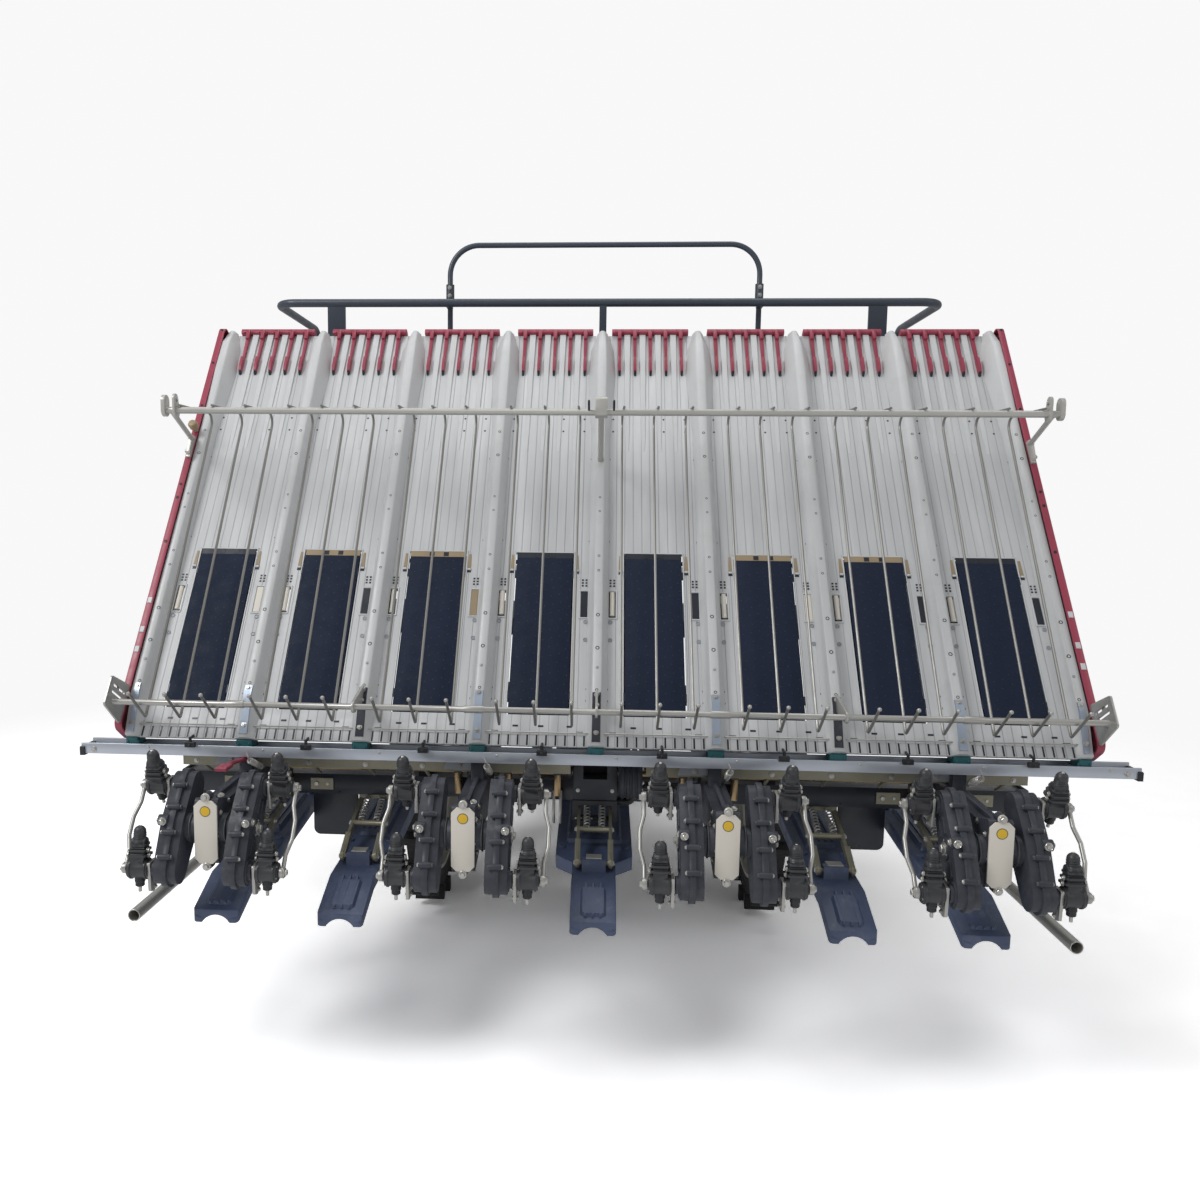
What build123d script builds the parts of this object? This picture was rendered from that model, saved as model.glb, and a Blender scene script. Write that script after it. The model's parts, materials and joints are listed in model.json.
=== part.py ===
from build123d import *
from math import cos, radians, sin
import os

# Riding rice transplanter, eight rows. Millimetres, +Y forward, +X to the right, +Z up.
# The ground is z = 0, and the origin is below the middle of the machine.

# ---- Seedling table: a sloping panel, with its lower lip behind the machine ----
ROWS = 8
ROW_PITCH = 300
ROW_CENTRES = [(i - (ROWS - 1) / 2) * ROW_PITCH for i in range(ROWS)]
DIVIDERS = [(i - ROWS / 2) * ROW_PITCH for i in range(ROWS + 1)]
LIP_Y = -1346
LIP_Z = 785
TABLE_TILT = 54.75
TABLE_LENGTH = 1405
TABLE_HALF = 1210
PANEL = 8
RIB_DEPTH = 38
COVER_TOP = 46
COVER_LOW = -46
COVER_X = (1210, 1228)
SHEET = 4
# Ridge between two rows: place up the slope, half width of its foot and crest, height.
RIDGE = [(0, 26, 10, 14), (110, 28, 11, 38), (1000, 28, 11, 38), (1230, 42, 13, 44),
         (1340, 36, 11, 42), (1412, 16, 6, 16)]
RIDGE_TOP = 38
WINDOW = dict(offset=38, half=9, start=375, end=455)
BELT = dict(half=77.5, start=106, end=558, radius=18, height=-15)
UPPER_BAR = dict(s=830, h=300, radius=9, half=1150)
LOWER_BAR = dict(s=48, h=110, radius=7.5, half=1212)
ROD_RADIUS = 3.5
ROD_OFFSETS = (-90, 0, 90)
FINGERS = (-96, -48, 0, 48, 96)

# ---- Planting units: four drive cases, each with a rotor on both sides ----
UNIT_CENTRES = (-900, -300, 300, 900)
ROTOR = (LIP_Y - 224, LIP_Z - 161)
ARM_REACH = 102
ARM_TILT = 35
CASE_HALF = 27
COVER_GAP = 36
COVER_EAR = 82
HUB = (45, 54)
ROTARY = (54, 106)
FLANGE = (73, 87)
CLAW = (118, 125)
DRUM = (126, 175)
BAR = (180, 200)
BAR_RADIUS = 5
ARM_LEAN = {1: -22, -1: 4}

# ---- Planter carrier and the four-bar lift that holds it ----
BEAM_Y = (-1180, -1110)
BEAM_Z = (600, 655)
BEAM_HALF = 1130
RAIL_HALF = 1325
RAIL_Y = (-1356, -1292)
RAIL_Z = (740, 768)
SHAFT_RUNS = ((-873, -327), (-273, -60), (60, 273), (327, 873))
UPPER_RAIL_S = 850
UPPER_RAIL_H = -75
LOWER_FRONT = (-446, 470)
LOWER_REAR = (-1039, 651)
LINK_RISE = 230
RAM_FOOT = (-120, 700)
RAM_EYE = (-655, 607.1)

# ---- Floats: x of the middle, half width of the body, y of the front end ----
FLOAT_TABLE = {
    "float_center": (0, 100, -900),
    "float_inner_left": (-600, 68, -880),
    "float_inner_right": (600, 68, -880),
    "float_outer_left": (-900, 68, -880),
    "float_outer_right": (900, 68, -880),
}
FLOAT_PIVOT = (-1366, 492)
FLOAT_TAIL_HALF = 55

# ---- Vehicle ----
REAR_AXLE = (-316, 475)
FRONT_AXLE = (834, 325)
REAR_WHEEL_X = 570
FRONT_WHEEL_X = 600
KINGPIN_X = 480
FRAME_X = (165, 215)
FRAME_Z = (535, 605)
FRAME_Y = (-500, 1604)
FLOOR_Z = (610, 636)
DECK_Z = (985, 1010)
DECK_Y = (-400, 300)
DECK_HALF = 1110
RAIL_TOP = 2076
HOOP_TOP = 2277
BEAM_UNDER_DECK = 950
STEP_Z = (380, 394)
BUMPER_FRONT = 1669.5
STEERING_HUB = (640, 1120)
STEERING_RAKE = 32

COS, SIN = cos(radians(TABLE_TILT)), sin(radians(TABLE_TILT))
TABLE = Plane(origin=(0, LIP_Y, LIP_Z), x_dir=(1, 0, 0), z_dir=(0, -SIN, COS))


def on_table(s, h):
    """Side-view point (y, z) that is s up the slope and h above the panel."""
    return (LIP_Y + s * COS - h * SIN, LIP_Z + s * SIN + h * COS)


def block(x, y, z, mode=Mode.ADD):
    """Box between the limits x = (low, high), y and z."""
    with Locations(((x[0] + x[1]) / 2, (y[0] + y[1]) / 2, (z[0] + z[1]) / 2)):
        Box(x[1] - x[0], y[1] - y[0], z[1] - z[0], mode=mode)


def table_block(x, s, h, mode=Mode.ADD):
    """Box in the table's own directions: across, up the slope, off the panel."""
    with BuildSketch(TABLE.offset(h[0])) as face:
        with Locations(((x[0] + x[1]) / 2, (s[0] + s[1]) / 2)):
            Rectangle(x[1] - x[0], s[1] - s[0])
    extrude(face.sketch, amount=h[1] - h[0], mode=mode)


def side_plate(outline, x, mode=Mode.ADD):
    """Side outline of (y, z) points, extruded along X between x = (low, high)."""
    with BuildSketch(Plane.YZ.offset(x[0])) as face:
        with BuildLine():
            Polyline(*outline, close=True)
        make_face()
    extrude(face.sketch, amount=x[1] - x[0], mode=mode)


def cross_bar(centre, radius, x, mode=Mode.ADD):
    """Round bar along X about centre = (y, z)."""
    with BuildSketch(Plane.YZ.offset(x[0])) as face:
        with Locations(centre):
            Circle(radius)
    extrude(face.sketch, amount=x[1] - x[0], mode=mode)


def rounded_link(circles, x, mode=Mode.ADD):
    """Convex plate round a few circles, each (y, z, radius), extruded along X."""
    with BuildSketch(Plane.YZ.offset(x[0])) as face:
        for y, z, radius in circles:
            with Locations((y, z)):
                Circle(radius)
        make_hull()
    extrude(face.sketch, amount=x[1] - x[0], mode=mode)


def rounded_plate(outline, x, radius, mode=Mode.ADD):
    """Side outline of (y, z) points with every corner rounded, extruded along X."""
    with BuildSketch(Plane.YZ.offset(x[0])) as face:
        with BuildLine():
            Polyline(*outline, close=True)
        make_face()
        fillet(face.vertices(), radius)
    extrude(face.sketch, amount=x[1] - x[0], mode=mode)


def strut(start, end, radius, mode=Mode.ADD):
    """Straight round bar between two points."""
    run = Vector(*end) - Vector(*start)
    with BuildSketch(Plane(origin=start, z_dir=run)) as section:
        Circle(radius)
    extrude(section.sketch, amount=run.length, mode=mode)


def tube(points, radius, bend, sides=0):
    """Bar along straight runs joined by bends, round or with flat sides."""
    with BuildLine() as run:
        FilletPolyline(*points, radius=bend)
    with BuildSketch(Plane(origin=run.line @ 0, z_dir=run.line % 0)) as section:
        if sides:
            RegularPolygon(radius, sides)
        else:
            Circle(radius)
    sweep(section.sketch, path=run.line)


def span(side, near, far):
    """Limits along X on one side of the machine, side = 1 right or -1 left."""
    return (near, far) if side > 0 else (-far, -near)


def both(near, far):
    """The same limits on the left and on the right."""
    return (span(-1, near, far), span(1, near, far))


def repeat(piece, places, mirrored=False):
    """One finished piece copied to places along X, with its mirror image too if wanted."""
    image = mirror(piece.part, about=Plane.YZ, mode=Mode.PRIVATE)
    with BuildPart() as copies:
        with Locations(*[(x, 0, 0) for x in places]):
            add(piece.part)
            if mirrored:
                add(image)
    return copies


def save(piece, name):
    piece.part.label = name
    export_step(piece.part, f"parts/{name}.step")


os.makedirs("parts", exist_ok=True)


# ================= Seedling table =================
def table_panel():
    with BuildPart() as panel:
        table_block((-TABLE_HALF, TABLE_HALF), (0, TABLE_LENGTH), (-PANEL, 0))
        for x in DIVIDERS:
            table_block((x - 8, x + 8), (40, TABLE_LENGTH), (-RIB_DEPTH, -PANEL))
        for s in (60, 620, 1110, 1395):
            table_block((-1200, 1200), (s - 6, s + 6), (-RIB_DEPTH, -PANEL))
        rail_top = UPPER_RAIL_H + 17.3
        s = UPPER_RAIL_S
        table_block((-1200, 1200), (s - 14, s + 14), (rail_top, -PANEL))
        for x in ROW_CENTRES:
            table_block((x - 81, x + 81), (86, 578), (-PANEL - 1, 1), Mode.SUBTRACT)
            for side in (-1, 1):
                middle = x + side * (ROW_PITCH / 2 - WINDOW["offset"])
                across = (middle - WINDOW["half"], middle + WINDOW["half"])
                along = (WINDOW["start"], WINDOW["end"])
                table_block(across, along, (-PANEL - 1, 1), Mode.SUBTRACT)
    return panel


def row_dividers():
    """Moulded ridges, wider and higher towards their rounded upper ends.

    The two at the table's edges keep only their inner half, beside the side covers.
    """
    with BuildPart() as ridge:
        for s, foot, crest, height in RIDGE:
            across = Plane(origin=TABLE.from_local_coords((0, s, 0)), x_dir=(1, 0, 0), z_dir=TABLE.y_dir)
            with BuildSketch(across):
                with BuildLine():
                    Polyline((-foot, 0), (foot, 0), (crest + 2, 3 - height), (crest - 2, -height),
                             (2 - crest, -height), (-crest - 2, 3 - height), close=True)
                make_face()
        loft(ruled=True)
    with BuildPart() as half_ridge:
        add(ridge.part)
        edge = TABLE_HALF - DIVIDERS[-1] - 0.5
        table_block((edge, 100), (-20, TABLE_LENGTH + 20), (-10, 80), Mode.SUBTRACT)
    left_half = mirror(half_ridge.part, about=Plane.YZ, mode=Mode.PRIVATE)
    with BuildPart() as ridges:
        with Locations(*[(x, 0, 0) for x in DIVIDERS[1:-1]]):
            add(ridge.part)
        with Locations((DIVIDERS[-1], 0, 0)):
            add(half_ridge.part)
        with Locations((DIVIDERS[0], 0, 0)):
            add(left_half)
    return ridges


def table_side_covers():
    near, far = COVER_X
    with BuildPart() as covers:
        for side in (-1, 1):
            outline = [on_table(s, h) for s, h in
                       ((6, COVER_LOW), (6, COVER_TOP), (1404, COVER_TOP), (1404, COVER_LOW))]
            rounded_plate(outline, span(side, near, far), 24)
            inside = [on_table(s, h) for s, h in
                      ((10, COVER_LOW + SHEET), (10, COVER_TOP - SHEET), (1400, COVER_TOP - SHEET),
                       (1400, COVER_LOW + SHEET))]
            rounded_plate(inside, span(side, near - 1, far - SHEET), 20, Mode.SUBTRACT)
    return covers


def top_guides():
    """Rounded end cap of each row with five tapered fingers that lead the mat in."""
    with BuildPart() as guide:
        cap = [(TABLE_LENGTH, -14), (1424, -14), (1424, 14), (TABLE_LENGTH, 14)]
        rounded_plate([on_table(s, h) for s, h in cap], (-120, 120), 6)
        for offset in FINGERS:
            with BuildSketch(TABLE) as finger:
                with BuildLine():
                    Polyline((offset - 6, 1418), (offset + 6, 1418), (offset + 3.5, 1250),
                             (offset - 3.5, 1250), close=True)
                make_face()
            extrude(finger.sketch, amount=16)
        lower = [on_table(s, h) for s, h in ((1240, 6), (1240, 30), (1380, 30), (1380, 9))]
        side_plate(lower, (-130, 130), Mode.SUBTRACT)
    return repeat(guide, ROW_CENTRES)


def feed_belts():
    """Endless belts over two rollers, whose shafts end at the panel's ribs."""
    start = on_table(BELT["start"], BELT["height"])
    end = on_table(BELT["end"], BELT["height"])
    inner = BELT["radius"] - SHEET
    across = (-BELT["half"], BELT["half"])
    with BuildPart() as belt:
        rounded_link([(*start, BELT["radius"]), (*end, BELT["radius"])], across)
        rounded_link([(*start, inner), (*end, inner)], across, Mode.SUBTRACT)
        for centre in (start, end):
            cross_bar(centre, inner + 0.2, across)
            cross_bar(centre, 6, (-ROW_PITCH / 2 + 8, ROW_PITCH / 2 - 8))
    return repeat(belt, ROW_CENTRES)


def slide_shoes():
    outline = [
        (-1350, 760.3), (-1300, 760.3), (-1300, 801), on_table(40, -PANEL),
        on_table(0, -PANEL), on_table(0, 0), (-1350, 781),
    ]
    with BuildPart() as shoes:
        for x in DIVIDERS:
            side_plate(outline, (max(x - 20, 1 - TABLE_HALF), min(x + 20, TABLE_HALF - 1)))
            for face in (-14, 14):
                middle = min(max(x, 20 - TABLE_HALF), TABLE_HALF - 20) + face
                block((middle - 2, middle + 2), (-1354, -1350), (770, 776))
    return shoes


def retainer_bar():
    """Bar that carries the rods, on a bracket and a strut at each end and one in the middle."""
    y, z = on_table(UPPER_BAR["s"], UPPER_BAR["h"])
    half = UPPER_BAR["half"]
    with BuildPart() as piece:
        cross_bar((y, z), UPPER_BAR["radius"], (-half - 36, half + 36))
        for side in (-1, 1):
            rounded_link([(y, z - 6, 17), (y - 4, z + 30, 14)], span(side, half, half + 6))
            rounded_link([(y, z, 17), (y, z + 24, 17)], span(side, half + 28, half + 38))
            foot = on_table(930, COVER_TOP + 12)
            strut((side * (half + 16), y, z), (side * 1216, *foot), 7)
            table_block(span(side, 1211, 1222), (868, 944), (COVER_TOP, COVER_TOP + 8))
            rounded_link([(*foot, 12), (*on_table(884, COVER_TOP + 9), 9)], span(side, 1211, 1221))
        foot = on_table(880, RIDGE_TOP + 6)
        strut((0, y, z), (0, *foot), 8)
        rounded_link([(y, z, 16), (y, z + 28, 12)], (-16, 16))
        with BuildSketch(TABLE.offset(RIDGE_TOP)) as pad:
            with Locations((0, 880)):
                Circle(9)
        extrude(pad.sketch, amount=10)
    return piece


def press_bar():
    """Lower bar in front of the rods, with slotted end plates and three middle stands."""
    centre = on_table(LOWER_BAR["s"], LOWER_BAR["h"])
    with BuildPart() as piece:
        cross_bar(centre, LOWER_BAR["radius"], (-LOWER_BAR["half"], LOWER_BAR["half"]))
        for x in (-900, -300, 300, 900):
            cross_bar(centre, LOWER_BAR["radius"] + 2, (x - 24, x + 24))
        for x in (-600, 0, 600):
            foot = [(*on_table(s, RIDGE_TOP + 8), 8) for s in (96, 128)]
            rounded_link([(*centre, 15), *foot], (x - 3, x + 3))
        for side in (-1, 1):
            plate = [on_table(s, h) for s, h in ((14, 46), (124, 46), (104, 146), (24, 146))]
            rounded_plate(plate, span(side, 1211, 1216), 8)
            for s in (74, 92):
                slot = [(*on_table(s, 66), 4), (*on_table(s - 4, 124), 4)]
                rounded_link(slot, span(side, 1205, 1220), Mode.SUBTRACT)
    return piece


def retainer_rods():
    """Three rods a row: back over the bar, down the slope, then out again in a hook."""
    bar_y, bar_z = on_table(UPPER_BAR["s"], UPPER_BAR["h"])
    over = bar_z + UPPER_BAR["radius"] + ROD_RADIUS + 0.1
    slope_h = 111.5
    turn = (over - LIP_Z - slope_h * COS) / SIN
    runs = [(bar_y - 10, over), on_table(turn, slope_h), on_table(27, 65), on_table(38, 178)]
    with BuildPart() as rod:
        tube([(0, *point) for point in runs], ROD_RADIUS + 0.06, [24, 6], sides=6)
    return repeat(rod, [row + offset for row in ROW_CENTRES for offset in ROD_OFFSETS])


# ================= Planting units =================
def slide_rail():
    low, high = RAIL_Z
    back, front = RAIL_Y
    outline = [
        (back, low), (front, low), (front, high), (front - 6, high), (front - 6, low + 6),
        (-1321, low + 6), (-1321, 760), (-1331, 760), (-1331, low + 6), (back + 5, low + 6),
        (back + 5, high), (back, high),
    ]
    with BuildPart() as rail:
        side_plate(outline, (-RAIL_HALF, RAIL_HALF))
    return rail


def drive_cases():
    """Gear case of each planting unit: rotor end, sloping arm to the beam, split flange."""
    y, z = ROTOR
    rear = y - COVER_GAP
    beam = BEAM_Y[0]
    width = (-CASE_HALF, CASE_HALF)
    with BuildPart() as case:
        rounded_link([(rear + 12, z + 66, 12), (rear + 12, z - 66, 12), (y + 30, z, 62)], width)
        rounded_link([(y + 16, z + 12, 48), (beam - 46, 650, 46)], width)
        rounded_link([(y + 32, z + 6, 66), (beam - 54, 650, 54)], (-5, 5))
        cross_bar(ROTOR, 35, (-40, 40))
        for side in (-1, 1):
            with BuildSketch(Plane.XZ.offset(-rear)) as ear:
                with Locations((0, z + side * COVER_EAR)):
                    Circle(10)
            extrude(ear.sketch, amount=-24)
        block((-16, 16), (-1340, -1312), (670, RAIL_Z[0]))
        block((-22, 22), (beam - 12, beam), (BEAM_Z[0] - 20, 700))
        cross_bar(ROTOR, 14.3, (-41, 41), Mode.SUBTRACT)
    return repeat(case, UNIT_CENTRES)


def case_covers():
    """Plate over the rear of each gear case, its corners cut and an ear at each end."""
    y, z = ROTOR
    with BuildPart() as cover:
        with BuildSketch(Plane.XZ.offset(-(y - COVER_GAP))) as plate:
            with Locations((0, z)):
                Rectangle(2 * CASE_HALF, 150)
                chamfer(plate.vertices(), 12)
            for side in (-1, 1):
                with Locations((0, z + side * COVER_EAR)):
                    Circle(10)
        extrude(amount=5)
    return repeat(cover, UNIT_CENTRES)


def arm_pivot(sign):
    """Side-view place of the upper (1) or lower (-1) planting arm's shaft."""
    tilt = radians(ARM_TILT)
    return (ROTOR[0] + sign * ARM_REACH * sin(tilt), ROTOR[1] + sign * ARM_REACH * cos(tilt))


def rotary_cases():
    """Two egg-ended rotor cases a unit on one shaft, with a bolted flange and hub covers."""
    y, z = ROTOR
    tilt = radians(ARM_TILT)
    outer = ROTARY[1]
    with BuildPart() as case:
        cross_bar(ROTOR, 34, HUB)
        rounded_link([(*arm_pivot(1), 34), (y, z, 46), (*arm_pivot(-1), 34)], ROTARY)
        rounded_link([(*arm_pivot(1), 41), (y, z, 53), (*arm_pivot(-1), 41)], FLANGE)
        for share in (-0.85, -0.3, 0.3, 0.85):
            for edge in (-1, 1):
                out = edge * (55 - 12 * abs(share))
                run = share * ARM_REACH
                lug = (y + run * sin(tilt) + out * cos(tilt), z + run * cos(tilt) - out * sin(tilt))
                cross_bar(lug, 7, (FLANGE[0] - 7, FLANGE[1] + 7))
        boss = (y - 46 * cos(tilt), z + 46 * sin(tilt))
        cross_bar(boss, 13, (FLANGE[1], outer + 4))
        cross_bar(ROTOR, 26, (outer, outer + 3))
        for sign in (-1, 1):
            cross_bar(arm_pivot(sign), 28, (outer, outer + 3))
            cross_bar(arm_pivot(sign), 20, (outer, 116))
            cross_bar(arm_pivot(sign), 8, (116, BAR[0]))
    with BuildPart() as pair:
        add(case.part)
        add(case.part.mirror(Plane.YZ))
        cross_bar(ROTOR, 14, (-HUB[0] - 1, HUB[0] + 1))
    return repeat(pair, UNIT_CENTRES)


def rotor_bars():
    """Bent bar outside each rotor that ties the outer ends of its two arm shafts."""
    near, far = BAR[0] + BAR_RADIUS + 0.6, BAR[1] - BAR_RADIUS
    upper, lower = arm_pivot(1), arm_pivot(-1)
    fall = (lower[0] - upper[0], lower[1] - upper[1])
    # Share of the way down, and place along X.
    route = [(0.0, near), (0.22, near), (0.40, far), (0.62, far), (0.80, near), (1.0, near)]
    with BuildPart() as bar:
        points = [(x, upper[0] + share * fall[0], upper[1] + share * fall[1]) for share, x in route]
        tube(points, BAR_RADIUS, 14)
        for centre in (upper, lower):
            cross_bar(centre, 13, (BAR[0], BAR[0] + 9))
    return repeat(bar, UNIT_CENTRES, mirrored=True)


def planting_arms(sign):
    """Arms at the upper (sign 1) or lower (sign -1) end of every rotor.

    Each has a drum on its shaft, a stepped neck and a capped boot over the push rod.
    """
    y, z = arm_pivot(sign)
    lean = radians(ARM_LEAN[sign])
    middle = (DRUM[0] + DRUM[1]) / 2
    up = Vector(0, sin(lean), cos(lean))
    pivot = Vector(middle, y, z)
    with BuildPart() as arm:
        cross_bar((y, z), 22.5, DRUM)
        for near in (DRUM[0] + 4, DRUM[1] - 9):
            cross_bar((y, z), 25, (near, near + 5))
        top = pivot + up * 60
        rounded_link([(y, z, 20), (top.Y, top.Z, 13)], (middle - 16, middle + 16))
        for reach, width, depth in ((30, 47, 44), (42, 43, 40), (54, 38, 36)):
            with BuildSketch(Plane(origin=pivot + up * reach, x_dir=(1, 0, 0), z_dir=up)) as lip:
                RectangleRounded(width, depth, 8)
            extrude(lip.sketch, amount=5)
        with BuildSketch(Plane(origin=top, x_dir=(1, 0, 0), z_dir=Vector(1, 0, 0).cross(up))) as boot:
            with BuildLine():
                Polyline((0, -4), (17, -4), (17, 4), (14, 10), (14, 26))
                CenterArc((0, 26), 14, 0, 90)
                Line((0, 40), (0, -4))
            make_face()
        revolve(boot.sketch, axis=Axis(top, up))
        cross_bar((y, z), 8.3, (110, 178), Mode.SUBTRACT)
    return repeat(arm, UNIT_CENTRES, mirrored=True)


def planting_claws(sign):
    """Claw plate inside each arm, with a forked tip that points forward and down."""
    y, z = arm_pivot(sign)
    near, far = CLAW[0] + 1, CLAW[1] + 1
    with BuildPart() as claw:
        plate = [(y - 18, z + 18), (y + 18, z + 20), (y + 44, z - 22), (y + 44, z - 40),
                 (y + 14, z - 40), (y + 4, z - 54), (y - 14, z - 50)]
        rounded_plate(plate, (near, far), 4)
        fork = [(y + 34, z - 20), (y + 50, z - 24), (y + 50, z - 42), (y + 34, z - 40)]
        rounded_plate(fork, (near - 3, far + 2), 3)
        prong = [(y + 44, z - 24), (y + 94, z - 36), (y + 94, z - 40), (y + 44, z - 41)]
        for limits in ((near - 3, near), (far - 1, far + 2)):
            side_plate(prong, limits)
        cross_bar((y, z), 8.3, (110, 130), Mode.SUBTRACT)
    return repeat(claw, UNIT_CENTRES, mirrored=True)


def cross_shafts():
    """Drive shafts that join the gear cases, with a thinner feed shaft above each."""
    with BuildPart() as shafts:
        for x0, x1 in SHAFT_RUNS:
            cross_bar((-1205, 684), 9, (x0, x1))
            cross_bar((-1205, 706), 7, (x0, x1))
            for x in (x0 + 40, x1 - 40):
                block((x - 8, x + 8), (-1218, BEAM_Y[0]), (BEAM_Z[0] + 20, 718))
    return shafts


def planter_frame():
    y0, y1 = BEAM_Y
    rail_y, rail_z = on_table(UPPER_RAIL_S, UPPER_RAIL_H)
    with BuildPart() as carrier:
        block((-BEAM_HALF, BEAM_HALF), BEAM_Y, BEAM_Z)
        for x in both(44, 58):
            mast = [(y1, 600), (-1010, 612), (-1005, 900), (-1060, 915), (y1, 700)]
            rounded_plate(mast, x, 8)
        block((-44, 44), (-1100, -1090), (640, 750))
        cross_bar(LOWER_REAR, 12, (-150, 150))
        cross_bar((LOWER_REAR[0], LOWER_REAR[1] + LINK_RISE), 10, (-58, 58))
        # Window frame of the hitch, behind the middle of the beam.
        block((-58, 58), (y0 - 10, y0), (BEAM_Z[0] - 12, 736))
        block((-32, 32), (y0 - 11, y0 + 1), (BEAM_Z[1] + 6, 716), Mode.SUBTRACT)
        for x in both(440, 480):
            leg = [(y0, 650), (y0 + 55, 650), (rail_y + 18, rail_z), (rail_y - 18, rail_z - 8)]
            rounded_plate(leg, x, 4)
        cross_bar((rail_y, rail_z), 17, (-1050, 1050))
    return carrier


def float_brackets():
    """Clevis under the beam for each float, with its pin."""
    y, z = FLOAT_PIVOT
    half = 46
    with BuildPart() as clevis:
        for arm in both(half - 8, half):
            rounded_link([(y, z, 13), (BEAM_Y[1] - 35, BEAM_Z[0] - 14, 12)], arm)
            rounded_link([(y, z, 9), (y + 60, z + 34, 9)], (arm[0] - 3, arm[1] + 3))
        block((-half, half), (BEAM_Y[0] + 10, BEAM_Y[1] - 10), (586, BEAM_Z[0]))
        cross_bar((y + 110, z + 52), 8, (-half, half))
        cross_bar(FLOAT_PIVOT, 6, (-half, half))
    return repeat(clevis, [x for x, _, _ in FLOAT_TABLE.values()])


def side_pipes():
    with BuildPart() as pipes:
        for side in (-1, 1):
            x = side * 1089
            with BuildSketch(Plane.XZ.offset(1589)):
                with Locations((x, LIP_Z - 377)):
                    Circle(15)
            extrude(amount=-500)
            block((x - 6, x + 6), (-1170, -1120), (412, BEAM_Z[0]))
            with BuildSketch(Plane.XZ.offset(1590)):
                with Locations((x, LIP_Z - 377)):
                    Circle(12.5)
            extrude(amount=-502, mode=Mode.SUBTRACT)
    return pipes


def mud_panels():
    with BuildPart() as panels:
        for side in (-1, 1):
            with BuildSketch(Plane.XZ.offset(1000)):
                with Locations((side * 756, 540)):
                    RectangleRounded(132, 230, 20)
            extrude(amount=-6)
            block(span(side, 736, 776), (BEAM_Y[1], -1000), (625, 640))
    return panels


def planting_float(x, half, front):
    """Plastic float: a drooping tail, a wider body and an upturned, rounded nose."""
    y, z = FLOAT_PIVOT
    tail_end, joint = -1566, -1300
    nose = front + 60
    with BuildPart() as hull:
        side = [
            (tail_end, 388), (tail_end + 4, 418), (-1440, 468), (joint, 478), (-1250, 488), (front, 528),
            (nose, 555), (nose, 540), (front, 490), (joint, 444), (-1440, 434),
        ]
        side_plate(side, (x - half, x + half))
        # Plan outline: the tail is narrower than the body, and every corner is round.
        tail = FLOAT_TAIL_HALF
        with BuildSketch(Plane.XY.offset(300)) as plan:
            with BuildLine():
                Polyline(
                    (x - tail, tail_end), (x + tail, tail_end), (x + tail, joint - 20),
                    (x + half, joint + 20), (x + half, front), (x + half * 0.7, nose),
                    (x - half * 0.7, nose), (x - half, front), (x - half, joint + 20),
                    (x - tail, joint - 20), close=True)
            make_face()
            fillet(plan.vertices(), 10)
        extrude(plan.sketch, amount=400, mode=Mode.INTERSECT)
        # Raised panels with sloping sides on the tail and on the body.
        for back, ahead, width, length in (((tail_end + 4, 418), (-1440, 468), 64, 100),
                                           ((-1250, 488), (front, 528), 2 * half - 50, 280)):
            slope = Vector(0, ahead[0] - back[0], ahead[1] - back[1])
            middle = Vector(x, (back[0] + ahead[0]) / 2, (back[1] + ahead[1]) / 2)
            top = Plane(origin=middle, x_dir=(1, 0, 0), z_dir=Vector(1, 0, 0).cross(slope))
            with BuildSketch(top.offset(-2)) as panel:
                RectangleRounded(width, length, 12)
            extrude(panel.sketch, amount=11, taper=30)
        # Arch under the tail's end.
        with BuildSketch(Plane.XZ.offset(-tail_end + 5)) as arch:
            with Locations((x, 366)):
                Circle(40)
        extrude(arch.sketch, amount=-40, mode=Mode.SUBTRACT)
        block((x - 30, x + 30), (y - 14, y + 14), (460, z + 12))
        cross_bar(FLOAT_PIVOT, 6.3, (x - 40, x + 40), Mode.SUBTRACT)
    return hull


# ================= Lift linkage =================
def lower_link():
    with BuildPart() as link:
        for x in both(110, 140):
            rounded_link([(*LOWER_FRONT, 30), (*LOWER_REAR, 30)], x)
        middle = (LOWER_FRONT[0] - 330, LOWER_FRONT[1] + 101)
        cross_bar(middle, 20, (-110, 110))
        for x in both(24, 34):
            rounded_link([(*middle, 22), (*RAM_EYE, 18)], x)
        cross_bar(RAM_EYE, 9, (-34, 34))
        cross_bar(LOWER_FRONT, 14.3, (-150, 150), Mode.SUBTRACT)
        cross_bar(LOWER_REAR, 12.3, (-150, 150), Mode.SUBTRACT)
    return link


def upper_link():
    front = (LOWER_FRONT[0], LOWER_FRONT[1] + LINK_RISE)
    rear = (LOWER_REAR[0], LOWER_REAR[1] + LINK_RISE)
    with BuildPart() as link:
        rounded_link([(*front, 24), (*rear, 24)], (-15, 15))
        cross_bar(front, 12.3, (-20, 20), Mode.SUBTRACT)
        cross_bar(rear, 12, (-20, 20), Mode.SUBTRACT)
    return link


def ram_plane(distance):
    """Plane across the ram's line, at a distance from its foot towards its eye."""
    along = Vector(0, RAM_EYE[0] - RAM_FOOT[0], RAM_EYE[1] - RAM_FOOT[1]).normalized()
    return Plane(origin=Vector(0, *RAM_FOOT) + along * distance, x_dir=(1, 0, 0), z_dir=along)


def lift_cylinder():
    with BuildPart() as barrel:
        cross_bar(RAM_FOOT, 24, (-18, 18))
        with BuildSketch(ram_plane(20)):
            Circle(30)
        extrude(amount=330)
        cross_bar(RAM_FOOT, 12.3, (-32, 32), Mode.SUBTRACT)
        with BuildSketch(ram_plane(60)):
            Circle(15.3)
        extrude(amount=300, mode=Mode.SUBTRACT)
    return barrel


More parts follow.
